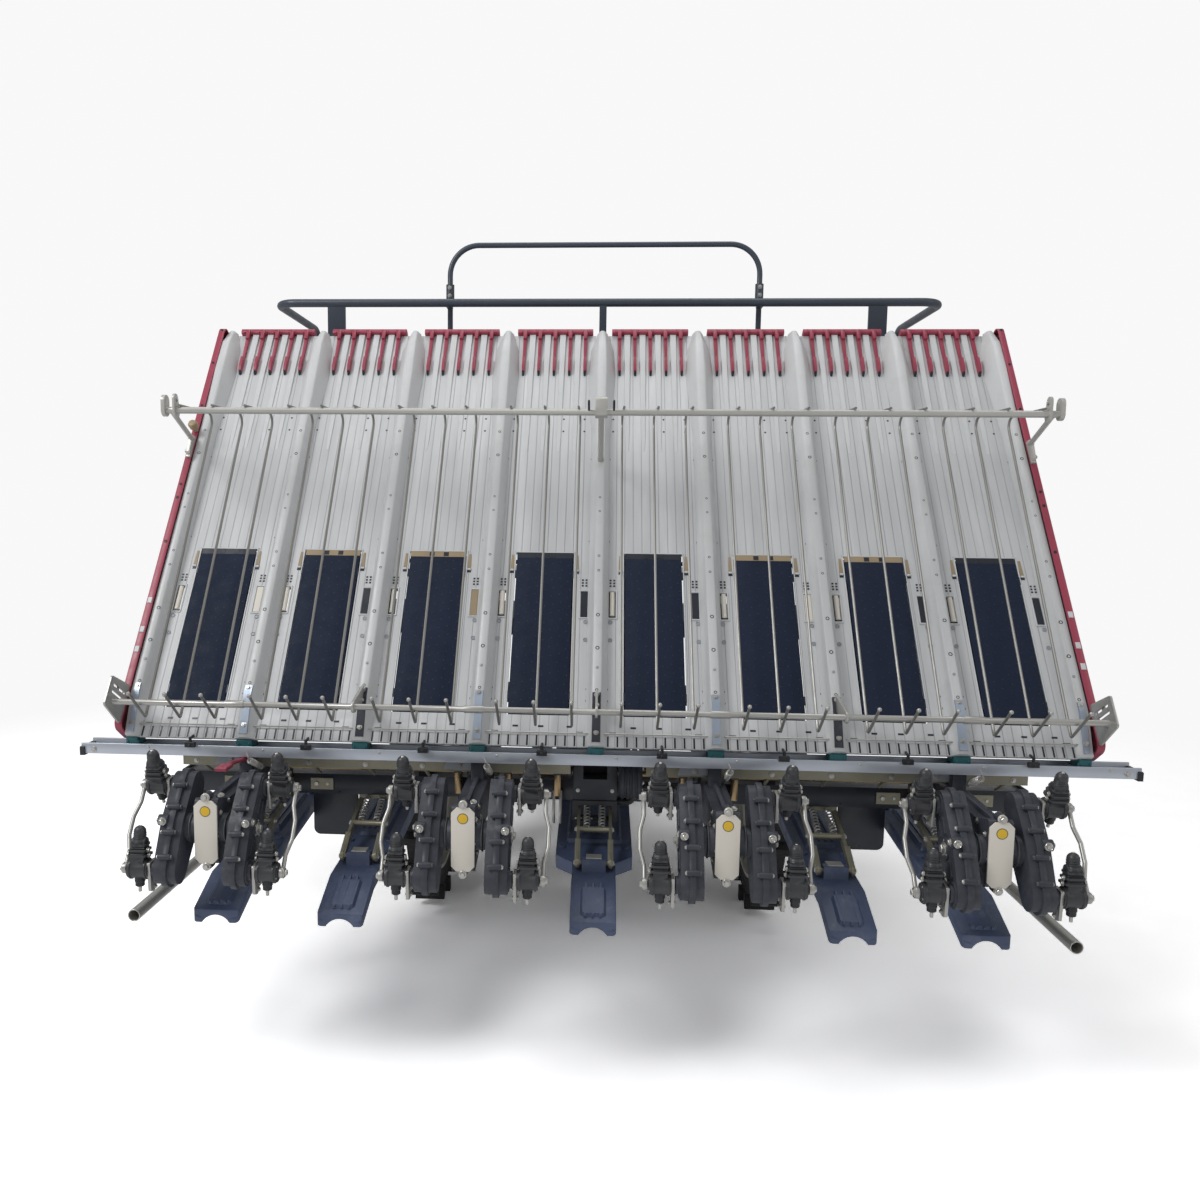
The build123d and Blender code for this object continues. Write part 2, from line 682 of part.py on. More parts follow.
def lift_rod():
    with BuildPart() as rod:
        with BuildSketch(ram_plane(260)):
            Circle(15)
        extrude(amount=260)
        cross_bar(RAM_EYE, 26, (-16, 16))
        cross_bar(RAM_EYE, 15, (-20, 20), Mode.SUBTRACT)
    return rod


# ================= Vehicle =================
def chassis_frame():
    y0, y1 = FRAME_Y
    z0, z1 = FRAME_Z
    with BuildPart() as frame:
        for x in both(*FRAME_X):
            block(x, FRAME_Y, FRAME_Z)
        for y in (-160, 300, 834, 1240, 1560):
            block((-FRAME_X[0], FRAME_X[0]), (y - 25, y + 25), (z0 + 5, z1 - 5))
        for x in both(*FRAME_X):
            side_plate([(y0, 440), (y0 + 90, 440), (-380, z0), (y0, z0)], x)
        cross_bar(LOWER_FRONT, 14, (-FRAME_X[0], FRAME_X[0]))
        for x in both(150, FRAME_X[0]):
            block(x, (y0, -400), (z0, 720))
        upper = (LOWER_FRONT[0], LOWER_FRONT[1] + LINK_RISE)
        cross_bar(upper, 12, (-FRAME_X[0], FRAME_X[0]))
        for x in both(38, 50):
            rounded_plate([(-185, 590), (-75, 590), (-92, 728), (-148, 728)], x, 10)
        cross_bar(RAM_FOOT, 12, (-50, 50))
        # Posts up to the deck's beam, and the stub beams of the spare racks.
        for x in both(FRAME_X[0] + 8, FRAME_X[1] - 8):
            block(x, (-378, -342), (z1, BEAM_UNDER_DECK))
        for x in both(FRAME_X[1], 330):
            block(x, (1215, 1245), (550, 590))
    return frame


def rear_axle_case():
    """Gearbox between the frame rails with a stepped axle tube to each rear wheel."""
    y, z = REAR_AXLE
    with BuildPart() as case:
        cross_bar(REAR_AXLE, 46, (-490, 490))
        cross_bar(REAR_AXLE, 22, (-606, 606))
        for side in (-1, 1):
            cross_bar(REAR_AXLE, 66, span(side, 470, 486))
            cross_bar(REAR_AXLE, 60, span(side, 120, 150))
        for x in both(*FRAME_X):
            block(x, (y - 45, y + 45), (z, FRAME_Z[0]))
        rounded_link([(y, z, 84), (y + 96, z + 4, 62)], (-120, 120))
        rounded_link([(y, z, 92), (y + 96, z + 4, 70)], (-8, 8))
    return case


def front_axle_case():
    """Front axle beam with its gear housing and a kingpin drum at each end."""
    y, z = FRONT_AXLE
    with BuildPart() as case:
        cross_bar((y, z), 34, (-450, 450))
        cross_bar((y, z), 74, (-84, 84))
        cross_bar((y, z), 82, (-8, 8))
        block((-100, 100), (y - 45, y + 45), (z + 40, 530))
        block((-150, 150), (y - 60, y + 60), (512, 530))
        for side in (-1, 1):
            for radius, height in ((36, 90), (12, 150)):
                with BuildSketch(Plane.XY.offset(z - height / 2)) as drum:
                    with Locations((side * KINGPIN_X, y)):
                        Circle(radius)
                extrude(drum.sketch, amount=height)
        for x in both(120, 150):
            block(x, (y - 25, y + 25), (520, 540))
    return case


def knuckle(side):
    y, z = FRONT_AXLE
    with BuildPart() as piece:
        block(span(side, KINGPIN_X - 30, KINGPIN_X + 66), (y - 30, y + 30), (z + 50, z + 70))
        block(span(side, KINGPIN_X - 30, KINGPIN_X + 66), (y - 30, y + 30), (z - 70, z - 50))
        block(span(side, KINGPIN_X + 46, KINGPIN_X + 66), (y - 30, y + 30), (z - 70, z + 70))
        cross_bar(FRONT_AXLE, 20, span(side, KINGPIN_X + 66, 640))
        with BuildSketch(Plane.XY.offset(z - 80)):
            with Locations((side * KINGPIN_X, y)):
                Circle(12.3)
        extrude(amount=160, mode=Mode.SUBTRACT)
    return piece


# Wheel sizes: hub bore, hub, rim and tyre radii, half width of rim and lug, lugs.
WHEELS = {
    "rear": dict(axle=REAR_AXLE, x=REAR_WHEEL_X, bore=22.3, hub=56, rim=372, tyre=436, tip=475,
                 half=34, lug_half=50, lugs=20, thick=26, hub_half=34),
    "front": dict(axle=FRONT_AXLE, x=FRONT_WHEEL_X, bore=20.3, hub=50, rim=240, tyre=292, tip=325,
                  half=28, lug_half=40, lugs=18, thick=22, hub_half=34),
}


def wheel_rim(size, side):
    x = size["x"]
    y, z = size["axle"]
    with BuildPart() as rim:
        cross_bar((y, z), size["hub"], span(side, x - size["hub_half"], x + size["hub_half"]))
        cross_bar((y, z), size["rim"], span(side, x - size["half"], x + size["half"]))
        for low, high in ((-size["half"] - 1, -6), (6, size["half"] + 1)):
            with BuildSketch(Plane.YZ.offset(side * x + low)):
                with Locations((y, z)):
                    Circle(size["rim"] - 12)
                    Circle(size["hub"], mode=Mode.SUBTRACT)
            extrude(amount=high - low, mode=Mode.SUBTRACT)
        middle = (size["rim"] + size["hub"]) / 2
        with BuildSketch(Plane.YZ.offset(side * x - 10)):
            with Locations((y, z)):
                with PolarLocations(middle, 6):
                    Circle((size["rim"] - size["hub"]) * 0.27)
        extrude(amount=20, mode=Mode.SUBTRACT)
        cross_bar((y, z), size["bore"], span(side, x - 60, x + 60), Mode.SUBTRACT)
    return rim


def wheel_tyre(size, side):
    x = size["x"]
    y, z = size["axle"]
    with BuildPart() as tyre:
        cross_bar((y, z), size["tyre"], span(side, x - size["half"], x + size["half"]))
        with BuildSketch(Plane.YZ.offset(side * x - size["lug_half"])):
            with Locations((y, z)):
                with PolarLocations(size["tip"] - 26, size["lugs"], start_angle=-90):
                    Rectangle(52, size["thick"])
        extrude(amount=2 * size["lug_half"])
        cross_bar((y, z), size["rim"], span(side, x - 80, x + 80), Mode.SUBTRACT)
    return tyre


def engine_block():
    with BuildPart() as engine:
        block((-200, 200), (1040, 1480), (FRAME_Z[1], 940))
    return engine


def floor_deck():
    """Foot platform between the axles, with a hanging step on each side."""
    z0, z1 = FLOOR_Z
    with BuildPart() as floor:
        with BuildSketch(Plane.XY.offset(z0)) as plan:
            with Locations((0, 330)):
                RectangleRounded(1120, 340, 40)
            with Locations((0, 755)):
                Rectangle(600, 510)
        extrude(plan.sketch, amount=z1 - z0)
        for x in both(*FRAME_X):
            block(x, (170, 1000), (FRAME_Z[1], z0))
        for side in (-1, 1):
            # Step plate, its two hangers and the rib above them.
            block(span(side, 470, 600), (262, 418), STEP_Z)
            for y in (262, 408):
                block(span(side, 500, 530), (y, y + 10), (STEP_Z[0], z0))
            block(span(side, 530, 560), (220, 450), (z0 - 20, z0))
    return floor


def rear_deck():
    """Wide deck with rounded corners, ribbed below, and a fender over each rear wheel."""
    y, z = REAR_AXLE
    y0, y1 = DECK_Y
    z0, z1 = DECK_Z
    with BuildPart() as deck:
        with BuildSketch(Plane.XY.offset(z0)) as plan:
            with Locations((0, (y0 + y1) / 2)):
                RectangleRounded(2 * DECK_HALF, y1 - y0, 60)
        extrude(plan.sketch, amount=z1 - z0)
        # Pockets below, then the beams across and the arched fenders.
        for near, far in ((352, 628), (652, 868), (892, 1060)):
            for low, high in ((y0 + 30, -60), (-40, y1 - 30)):
                for x in both(near, far):
                    block(x, (low, high), (z0 - 1, z1 - 7), Mode.SUBTRACT)
        for low, high in ((-380, -340), (240, 276)):
            for x in both(652, DECK_HALF - 40):
                block(x, (low, high), (BEAM_UNDER_DECK, z1 - 6))
        block((-480, 480), (-380, -340), (BEAM_UNDER_DECK, z1 - 6))
        for side in (-1, 1):
            with BuildSketch(Plane.YZ.offset(span(side, 500, 640)[0])) as fender:
                with Locations((y, z)):
                    Circle(512)
                    Circle(505, mode=Mode.SUBTRACT)
                with Locations((y, z - 300)):
                    Rectangle(1100, 930, mode=Mode.SUBTRACT)
            extrude(fender.sketch, amount=140)
    return deck


def seat_base():
    """Open-bottomed box between the floor and the deck that carries the seat."""
    y0, y1 = -60, 280
    with BuildPart() as base:
        for inset, top in ((0, DECK_Z[0]), (8, DECK_Z[0] - 8)):
            with BuildSketch(Plane.XY.offset(FRAME_Z[1] - inset)) as plan:
                with Locations((0, (y0 + y1) / 2)):
                    RectangleRounded(640 - 2 * inset, y1 - y0 - 2 * inset, 40 - inset)
            mode = Mode.SUBTRACT if inset else Mode.ADD
            extrude(plan.sketch, amount=top - FRAME_Z[1] + inset, mode=mode)
        block((-330, 330), (150, 300), (FLOOR_Z[0] - 10, FLOOR_Z[1]), Mode.SUBTRACT)
    return base


def seat():
    """Plain closed form of the cushion and the backrest."""
    base, top = DECK_Z[1], 1110
    with BuildPart() as piece:
        cushion = [(-90, base), (370, base), (370, top - 10), (340, top), (-90, top)]
        rounded_plate(cushion, (-230, 230), 9)
        back = [(-90, 1040), (-70, top), (-140, 1480), (-205, 1480), (-160, 1040)]
        rounded_plate(back, (-220, 220), 14)
    return piece


def steering_console():
    """Sloping dash with a sunk instrument panel and the steering column's tube."""
    outline = [
        (560, FLOOR_Z[1]), (1004, FLOOR_Z[1]), (1004, 1070), (820, 1080), (700, 1010), (640, 820),
    ]
    tilt = radians(STEERING_RAKE)
    axis = Vector(0, -sin(tilt), cos(tilt))
    hub = Vector(0, *STEERING_HUB)
    with BuildPart() as console:
        side_plate(outline, (-200, 200))
        edges = [e for e in console.edges() if abs(abs(e.center().X) - 200) < 1 and e.center().Z > 700
                 and e.center().Y < 1000]
        fillet(edges, 24)
        block((-110, 110), (850, 960), (1068, 1100), Mode.SUBTRACT)
        with BuildSketch(Plane(origin=hub - axis * 190, x_dir=(1, 0, 0), z_dir=axis)) as column:
            Circle(34)
        extrude(column.sketch, amount=160, taper=3)
    return console


def steering_plane(height=0):
    tilt = radians(STEERING_RAKE)
    axis = Vector(0, -sin(tilt), cos(tilt))
    return Plane(origin=Vector(0, *STEERING_HUB) + axis * height, x_dir=(1, 0, 0), z_dir=axis)


def steering_wheel():
    with BuildPart() as wheel:
        with BuildSketch(steering_plane(-20)):
            Circle(40)
        extrude(amount=30)
        with BuildSketch(steering_plane(-6)):
            for angle in (90, 210, 330):
                with PolarLocations(95, 1, start_angle=angle):
                    Rectangle(190, 26)
            Circle(176, mode=Mode.INTERSECT)
        extrude(amount=12)
        ring = Plane(steering_plane().origin, x_dir=(1, 0, 0), z_dir=steering_plane().y_dir)
        with BuildSketch(ring):
            with Locations((180, 0)):
                Circle(13)
        centre = steering_plane()
        revolve(axis=Axis(centre.origin, centre.z_dir))
    return wheel


def hood_form(inset):
    """Solid form of the hood: arched top, round nose and rounded upper edges."""
    half = 250 - inset
    with BuildPart() as form:
        with BuildSketch(Plane.YZ.offset(-half)) as side:
            with BuildLine():
                Polyline((1470, 1024), (1606, 650), (1012, 650), (1012, 1094))
                ThreePointArc((1012, 1094), (1250, 1072), (1470, 1024))
            make_face()
            with BuildLine():
                Line((1470, 1024), (1606, 650))
                ThreePointArc((1606, 650), (1604, 880), (1470, 1024))
            make_face()
            if inset:
                offset(amount=-inset)
        extrude(side.sketch, amount=2 * half)
        upper = [e for e in form.edges() if abs(abs(e.center().X) - half) < 1 and e.center().Z > 800
                 and e.center().Y > 1030]
        fillet(upper, 46 - inset)
    return form


def bonnet():
    """Hood shell, open below and to the rear, with a slotted grille in its nose."""
    with BuildPart() as hollow:
        add(hood_form(SHEET).part)
        extrude(hollow.faces().sort_by(Axis.Y)[0], amount=20)
        extrude(hollow.faces().sort_by(Axis.Z)[0], amount=20)
    with BuildPart() as lid:
        add(hood_form(0).part)
        add(hollow.part, mode=Mode.SUBTRACT)
        for z in range(700, 840, 28):
            block((-110, 110), (1570, 1660), (z, z + 12), Mode.SUBTRACT)
    return lid


def front_bumper():
    """Front plate with the drawbar clevis and four bolt holes."""
    with BuildPart() as bumper:
        with BuildSketch(Plane.XZ.offset(-FRAME_Y[1])) as plate:
            with Locations((0, 570)):
                RectangleRounded(440, 90, 12)
        extrude(plate.sketch, amount=-12)
        for z in ((545, 557), (583, 595)):
            with BuildSketch(Plane.XY.offset(z[0])) as ear:
                with Locations((0, 1638)):
                    Rectangle(60, 44)
                with Locations((0, BUMPER_FRONT - 30)):
                    Circle(30)
            extrude(ear.sketch, amount=z[1] - z[0])
        with BuildSketch(Plane.XY.offset(540)) as pin:
            with Locations((0, 1644)):
                Circle(10)
        extrude(pin.sketch, amount=60, mode=Mode.SUBTRACT)
        with BuildSketch(Plane.XZ.offset(-1620)) as holes:
            with Locations((0, 570)):
                with GridLocations(240, 60, 2, 2):
                    Circle(6.5)
        extrude(holes.sketch, amount=20, mode=Mode.SUBTRACT)
    return bumper


def guard_rail():
    y = -336
    half = 1122
    z = RAIL_TOP
    with BuildPart() as rail:
        tube([(-half, 200, DECK_Z[1]), (-half, 200, z), (-half, y, z), (half, y, z),
              (half, 200, z), (half, 200, DECK_Z[1])], 13.5, 70)
        for x in both(880, 940):
            block(x, (y - 6, y + 6), (DECK_Z[1], z))
        block((-12, 12), (y - 8, y + 8), (DECK_Z[1], z))
    return rail


def rear_hoop():
    half, y = 526, -286
    with BuildPart() as hoop:
        tube([(-half, y, DECK_Z[1]), (-half, y, HOOP_TOP), (half, y, HOOP_TOP),
              (half, y, DECK_Z[1])], 9, 100)
        for side in (-1, 1):
            block(span(side, half - 10, half + 10), (-322.52, y), (RAIL_TOP - 10, RAIL_TOP + 10))
    return hoop


def spare_rack(side):
    """Post with three trays, each in two bays with a slatted floor."""
    with BuildPart() as rack:
        block(span(side, 330, 370), (1215, 1245), (550, 1330))
        for z in (820, 1065, 1310):
            with BuildSketch(Plane.XY.offset(z)) as plan:
                with Locations((side * 470, 1230)):
                    RectangleRounded(340, 620, 14)
            extrude(plan.sketch, amount=30)
            for low, high in ((930, 1205), (1255, 1530)):
                block(span(side, 310, 630), (low, high), (z + 6, z + 31), Mode.SUBTRACT)
                for slot in range(400, 600, 60):
                    slit = span(side, slot, slot + 26)
                    block(slit, (low + 30, high - 30), (z - 1, z + 7), Mode.SUBTRACT)
    return rack


TABLE_NODES = [
    table_panel, row_dividers, table_side_covers, top_guides, feed_belts, slide_shoes,
    retainer_bar, press_bar, retainer_rods,
]
PLANTER_NODES = [
    slide_rail, drive_cases, case_covers, rotary_cases, rotor_bars, cross_shafts,
    planter_frame, float_brackets, side_pipes, mud_panels,
]
LIFT_NODES = [lower_link, upper_link, lift_cylinder, lift_rod]
VEHICLE_NODES = [
    chassis_frame, rear_axle_case, front_axle_case, engine_block, floor_deck, rear_deck,
    seat_base, seat, steering_console, steering_wheel, bonnet, front_bumper, guard_rail, rear_hoop,
]
for make in TABLE_NODES + PLANTER_NODES + LIFT_NODES + VEHICLE_NODES:
    save(make(), make.__name__)
for sign, place in ((1, "upper"), (-1, "lower")):
    save(planting_arms(sign), f"planting_arms_{place}")
    save(planting_claws(sign), f"planting_claws_{place}")
for name, (x, half, front) in FLOAT_TABLE.items():
    save(planting_float(x, half, front), name)
for side, hand in ((-1, "left"), (1, "right")):
    save(knuckle(side), f"knuckle_{hand}")
    save(spare_rack(side), f"spare_rack_{hand}")
    for end, size in WHEELS.items():
        save(wheel_rim(size, side), f"{end}_rim_{hand}")
        save(wheel_tyre(size, side), f"{end}_tyre_{hand}")
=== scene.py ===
# The looks of an eight-row riding rice transplanter, in metres, +Y forward, +Z up.
# The CAD nodes get their materials; small parts and the padded seat are added beside them.
import json
from itertools import product
from math import cos, pi, radians, sin, sqrt

import bmesh
import bpy
import numpy as np
from mathutils import Matrix, Vector

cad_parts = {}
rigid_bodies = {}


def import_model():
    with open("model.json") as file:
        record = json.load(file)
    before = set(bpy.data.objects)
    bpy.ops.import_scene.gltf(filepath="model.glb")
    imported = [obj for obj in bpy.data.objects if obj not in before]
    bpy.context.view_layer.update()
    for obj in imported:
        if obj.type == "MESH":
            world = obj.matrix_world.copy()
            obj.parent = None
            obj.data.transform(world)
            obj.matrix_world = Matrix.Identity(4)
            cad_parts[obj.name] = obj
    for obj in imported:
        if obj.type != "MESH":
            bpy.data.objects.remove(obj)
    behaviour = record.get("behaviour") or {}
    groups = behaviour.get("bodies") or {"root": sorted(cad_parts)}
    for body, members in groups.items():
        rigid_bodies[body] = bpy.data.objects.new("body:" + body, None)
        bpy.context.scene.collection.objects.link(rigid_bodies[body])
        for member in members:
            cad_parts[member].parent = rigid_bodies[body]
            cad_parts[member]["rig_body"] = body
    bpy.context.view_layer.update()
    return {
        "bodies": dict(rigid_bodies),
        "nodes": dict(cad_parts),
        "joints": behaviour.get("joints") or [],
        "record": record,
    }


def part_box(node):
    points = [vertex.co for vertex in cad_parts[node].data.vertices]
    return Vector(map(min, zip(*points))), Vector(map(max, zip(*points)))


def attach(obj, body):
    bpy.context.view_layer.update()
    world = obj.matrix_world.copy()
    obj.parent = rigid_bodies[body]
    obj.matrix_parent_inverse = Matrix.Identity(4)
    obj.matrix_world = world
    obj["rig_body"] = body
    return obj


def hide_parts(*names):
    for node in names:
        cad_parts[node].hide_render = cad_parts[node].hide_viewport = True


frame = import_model()
NODES = frame["nodes"]


# ---------------------------------------------------------------- materials
def linear(red, green, blue):
    """Linear colour of an sRGB triple from 0 to 255."""
    def channel(value):
        value /= 255
        return value / 12.92 if value <= 0.04045 else ((value + 0.055) / 1.055) ** 2.4
    return (channel(red), channel(green), channel(blue), 1.0)


def shade(colour, factor):
    """Lighter or darker copy of a linear colour."""
    return tuple(min(1.0, c * factor) for c in colour[:3]) + (1.0,)


def configure(target, **values):
    """Sets several attributes of the target and returns it."""
    for key, value in values.items():
        setattr(target, key, value)
    return target


def new_object(name, data):
    """Object that holds the data, linked to the scene."""
    made = bpy.data.objects.new(name, data)
    bpy.context.scene.collection.objects.link(made)
    return made


def smooth(mesh, sharp=None):
    """Smooth shading, except over the edges that are sharper than an angle in degrees."""
    for polygon in mesh.polygons:
        polygon.use_smooth = True
    if sharp:
        mesh.set_sharp_from_angle(angle=radians(sharp))


class Shader:
    """Node tree of one material: a Principled shader fed by object-space noise."""

    def __init__(self, name):
        self.material = bpy.data.materials.new(name)
        self.material.use_nodes = True
        self.tree = self.material.node_tree
        self.principled = self.tree.nodes["Principled BSDF"]
        self.place = self.new("ShaderNodeTexCoord").outputs["Object"]

    def feed(self, node, inputs):
        """Links each named input to the socket given for it, or gives it a plain value."""
        for key, value in inputs.items():
            if isinstance(value, bpy.types.NodeSocket):
                self.tree.links.new(value, node.inputs[key])
            else:
                node.inputs[key].default_value = value

    def new(self, kind, inputs=(), **settings):
        node = configure(self.tree.nodes.new(kind), **settings)
        self.feed(node, dict(inputs))
        return node

    def noise(self, scale, detail=4.0, rough=0.55, stretch=(1, 1, 1)):
        mapping = self.new("ShaderNodeMapping", {"Vector": self.place, "Scale": stretch})
        return self.new("ShaderNodeTexNoise", {"Vector": mapping.outputs["Vector"], "Scale": scale,
                                               "Detail": detail, "Roughness": rough}).outputs["Fac"]

    def ramp(self, fac, stops):
        node = self.new("ShaderNodeValToRGB", {"Fac": fac})
        ramp = node.color_ramp
        while len(ramp.elements) < len(stops):
            ramp.elements.new(0.5)
        for element, (position, colour) in zip(ramp.elements, stops):
            configure(element, position=position, color=colour)
        return node.outputs["Color"]

    def grey_ramp(self, fac, low, high):
        return self.ramp(fac, [(0.3, (low, low, low, 1)), (0.7, (high, high, high, 1))])

    def mix(self, fac, a, b):
        """Colour between a and b; the node's colour sockets are 6 and 7, its colour output is 2."""
        return self.new("ShaderNodeMix", {0: fac, 6: a, 7: b}, data_type="RGBA").outputs[2]

    def math(self, operation, a, b):
        return self.new("ShaderNodeMath", {0: a, 1: b}, operation=operation).outputs["Value"]

    def fade(self, value, low, high, at_low, at_high):
        """Runs from at_low to at_high while the value goes from low to high."""
        return self.new("ShaderNodeMapRange", {"Value": value, "From Min": low, "From Max": high,
                                               "To Min": at_low, "To Max": at_high}).outputs["Result"]

    def bump(self, height, strength, distance):
        """Adds a bump to those that the surface has."""
        inputs = {"Height": height, "Strength": strength, "Distance": distance}
        before = self.principled.inputs["Normal"]
        if before.is_linked:
            inputs["Normal"] = before.links[0].from_socket
        self.feed(self.principled, {"Normal": self.new("ShaderNodeBump", inputs).outputs["Normal"]})


def finish_of(name, colour, roughness, metallic=0.0, spread=0.12, cloud=3.0, grain=220.0,
              grain_bump=0.12, dust=None, dust_share=0.25, coat=0.0, glint=0.5):
    """General finish of an sRGB colour: soft clouds, dust in patches, fine grain, uneven gloss."""
    s = Shader(name)
    colour = linear(*colour)
    body = s.ramp(s.noise(cloud, 5.0, 0.6),
                  [(0.25, shade(colour, 1 - spread)), (0.75, shade(colour, 1 + spread))])
    if dust:
        patches = s.noise(cloud * 4, 8.0, 0.7)
        cover = s.ramp(patches, [(0.52, (0, 0, 0, 1)), (0.80, (dust_share,) * 3 + (1,))])
        body = s.mix(cover, body, linear(*dust))
    gloss = s.grey_ramp(s.noise(cloud * 9, 4.0, 0.6), max(0.03, roughness - 0.07), roughness + 0.09)
    s.feed(s.principled, {"Base Color": body, "Roughness": gloss, "Metallic": metallic,
                          "Specular IOR Level": glint})
    if coat:
        s.feed(s.principled, {"Coat Weight": coat, "Coat Roughness": 0.12})
    s.bump(s.noise(grain, 3.0, 0.6), grain_bump, 0.0006)
    return s.material


def polished(name, colour, roughness, metallic=1.0, spread=0.04):
    """Smooth bright metal: a faint colour drift and slightly uneven gloss, with no bump."""
    s = Shader(name)
    colour = linear(*colour)
    body = s.ramp(s.noise(9.0, 3.0), [(0.3, shade(colour, 1 - spread)), (0.7, shade(colour, 1 + spread))])
    gloss = s.grey_ramp(s.noise(40.0, 3.0), roughness - 0.03, roughness + 0.05)
    s.feed(s.principled, {"Base Color": body, "Roughness": gloss, "Metallic": metallic})
    return s.material


def grooved_panel():
    """Moulded panel: soft stains down the slope and a fine groove every 24 mm, darkened by painted shade.
    """
    s = Shader("grooved_panel")
    stains = s.noise(2.2, 6.0, 0.6, (9, 0.9, 0.9))
    body = s.ramp(stains, [(0.25, linear(178, 180, 181)), (0.5, linear(190, 192, 194)),
                           (0.78, linear(206, 207, 208))])
    pitch, half, soft = 0.024, 0.0006, 0.0012
    across = s.new("ShaderNodeSeparateXYZ", {"Vector": s.place}).outputs["X"]
    groove = s.fade(s.math("PINGPONG", across, pitch / 2), half, half + soft, 1.0, 0.0)
    # Painted shade: the grooves are darkened in colour, unevenly, for the shade that lies in them.
    groove_shade = s.math("MULTIPLY", groove, s.grey_ramp(s.noise(3.0, 4.0), 0.35, 0.75))
    gloss = s.grey_ramp(s.noise(20.0, 4.0, 0.6, (3, 0.5, 0.5)), 0.34, 0.50)
    s.feed(s.principled, {"Base Color": s.mix(groove_shade, body, linear(128, 130, 134)), "Roughness": gloss})
    s.bump(s.noise(260.0, 3.0), 0.05, 0.0006)
    s.bump(groove, 0.6, -0.0008)
    return s.material


DUST = (150, 140, 120)
PLASTIC_WHITE = finish_of("moulded_white", (196, 198, 199), 0.40, spread=0.05, dust=(160, 158, 150),
                          dust_share=0.30, grain_bump=0.05)
PANEL_WHITE = grooved_panel()
CRIMSON = finish_of("crimson_plastic", (150, 56, 76), 0.36, spread=0.10, grain_bump=0.05)
CRIMSON_PAINT = finish_of("crimson_paint", (146, 26, 46), 0.22, spread=0.06, grain_bump=0.02, coat=0.5)
BELT = finish_of("belt_rubber", (24, 34, 54), 0.66, spread=0.10, glint=0.2)
BELT_STUD = finish_of("belt_stud", (20, 26, 38), 0.5, spread=0.10)
TEAL = finish_of("teal_plastic", (28, 92, 98), 0.45, grain_bump=0.05)
STEEL = polished("bright_steel", (176, 175, 171), 0.36, 0.6)
ROD_STEEL = polished("rod_steel", (138, 137, 133), 0.40, 0.6)
SCREW = polished("zinc_screws", (186, 185, 180), 0.30, 0.75)
PAINTED_BAR = polished("grey_bar", (184, 183, 178), 0.38, 0.35)
ALUMINIUM = polished("aluminium", (186, 192, 202), 0.34, 0.6)
BLUE_ZINC = finish_of("blue_zinc", (168, 180, 196), 0.36, 0.5, spread=0.10, cloud=14, grain_bump=0.04)
CASE_GREY = finish_of("case_grey", (56, 59, 67), 0.44, glint=0.35, spread=0.14, cloud=9, dust=(100, 99,
                      97), dust_share=0.35, grain=420, grain_bump=0.22)
CASE_LIGHT = finish_of("case_light", (150, 154, 160), 0.42, 0.2, spread=0.08)
DRUM_GREY = finish_of("drum_grey", (58, 59, 62), 0.40, 0.1, spread=0.14, cloud=12, grain=420,
                      grain_bump=0.15)
BOOT_BLACK = finish_of("boot_black", (34, 36, 41), 0.42, grain_bump=0.08)
CREAM = finish_of("cream_cover", (216, 211, 200), 0.42, spread=0.04, grain_bump=0.04)
YELLOW = finish_of("yellow_mark", (218, 178, 40), 0.45, spread=0.05, grain_bump=0.03)
TAN = finish_of("tan_plastic", (150, 132, 104), 0.45, spread=0.06, grain_bump=0.04)
LENS = finish_of("lamp_lens", (212, 218, 222), 0.10, spread=0.03, grain_bump=0.01, coat=0.6)
RAIL_PAINT = finish_of("rail_paint", (60, 68, 80), 0.36, grain_bump=0.04)
NAVY_BLACK = finish_of("navy_black", (30, 35, 46), 0.34, spread=0.15, grain_bump=0.05)
FLOAT = finish_of("float_plastic", (70, 82, 110), 0.42, cloud=5, dust=(136, 139, 150), dust_share=0.35,
                  grain=320, grain_bump=0.10)
KHAKI = finish_of("khaki_zinc", (142, 139, 122), 0.40, 0.5, cloud=18, grain_bump=0.06)
BRONZE = polished("bronze_shaft", (156, 134, 102), 0.28, 0.9, 0.12)
CHASSIS = finish_of("chassis_grey", (52, 55, 60), 0.45, dust=DUST, dust_share=0.2)
CAST = finish_of("cast_grey", (74, 76, 80), 0.52, 0.2, spread=0.14, grain=260, grain_bump=0.3)
DECK = finish_of("deck_plastic", (50, 54, 60), 0.55, spread=0.1, dust=DUST)
RIM = finish_of("rim_paint", (196, 196, 188), 0.4, spread=0.08, dust=DUST, dust_share=0.3)
TYRE = finish_of("tyre_rubber", (34, 34, 36), 0.7, spread=0.14, cloud=12, dust=(96, 88, 76),
                 dust_share=0.35, grain_bump=0.3)
SEAT_COVER = finish_of("seat_vinyl", (30, 31, 34), 0.45, spread=0.1, grain=380, grain_bump=0.35)
RACK = finish_of("rack_plastic", (190, 192, 190), 0.45, spread=0.05, dust=DUST, dust_share=0.15)

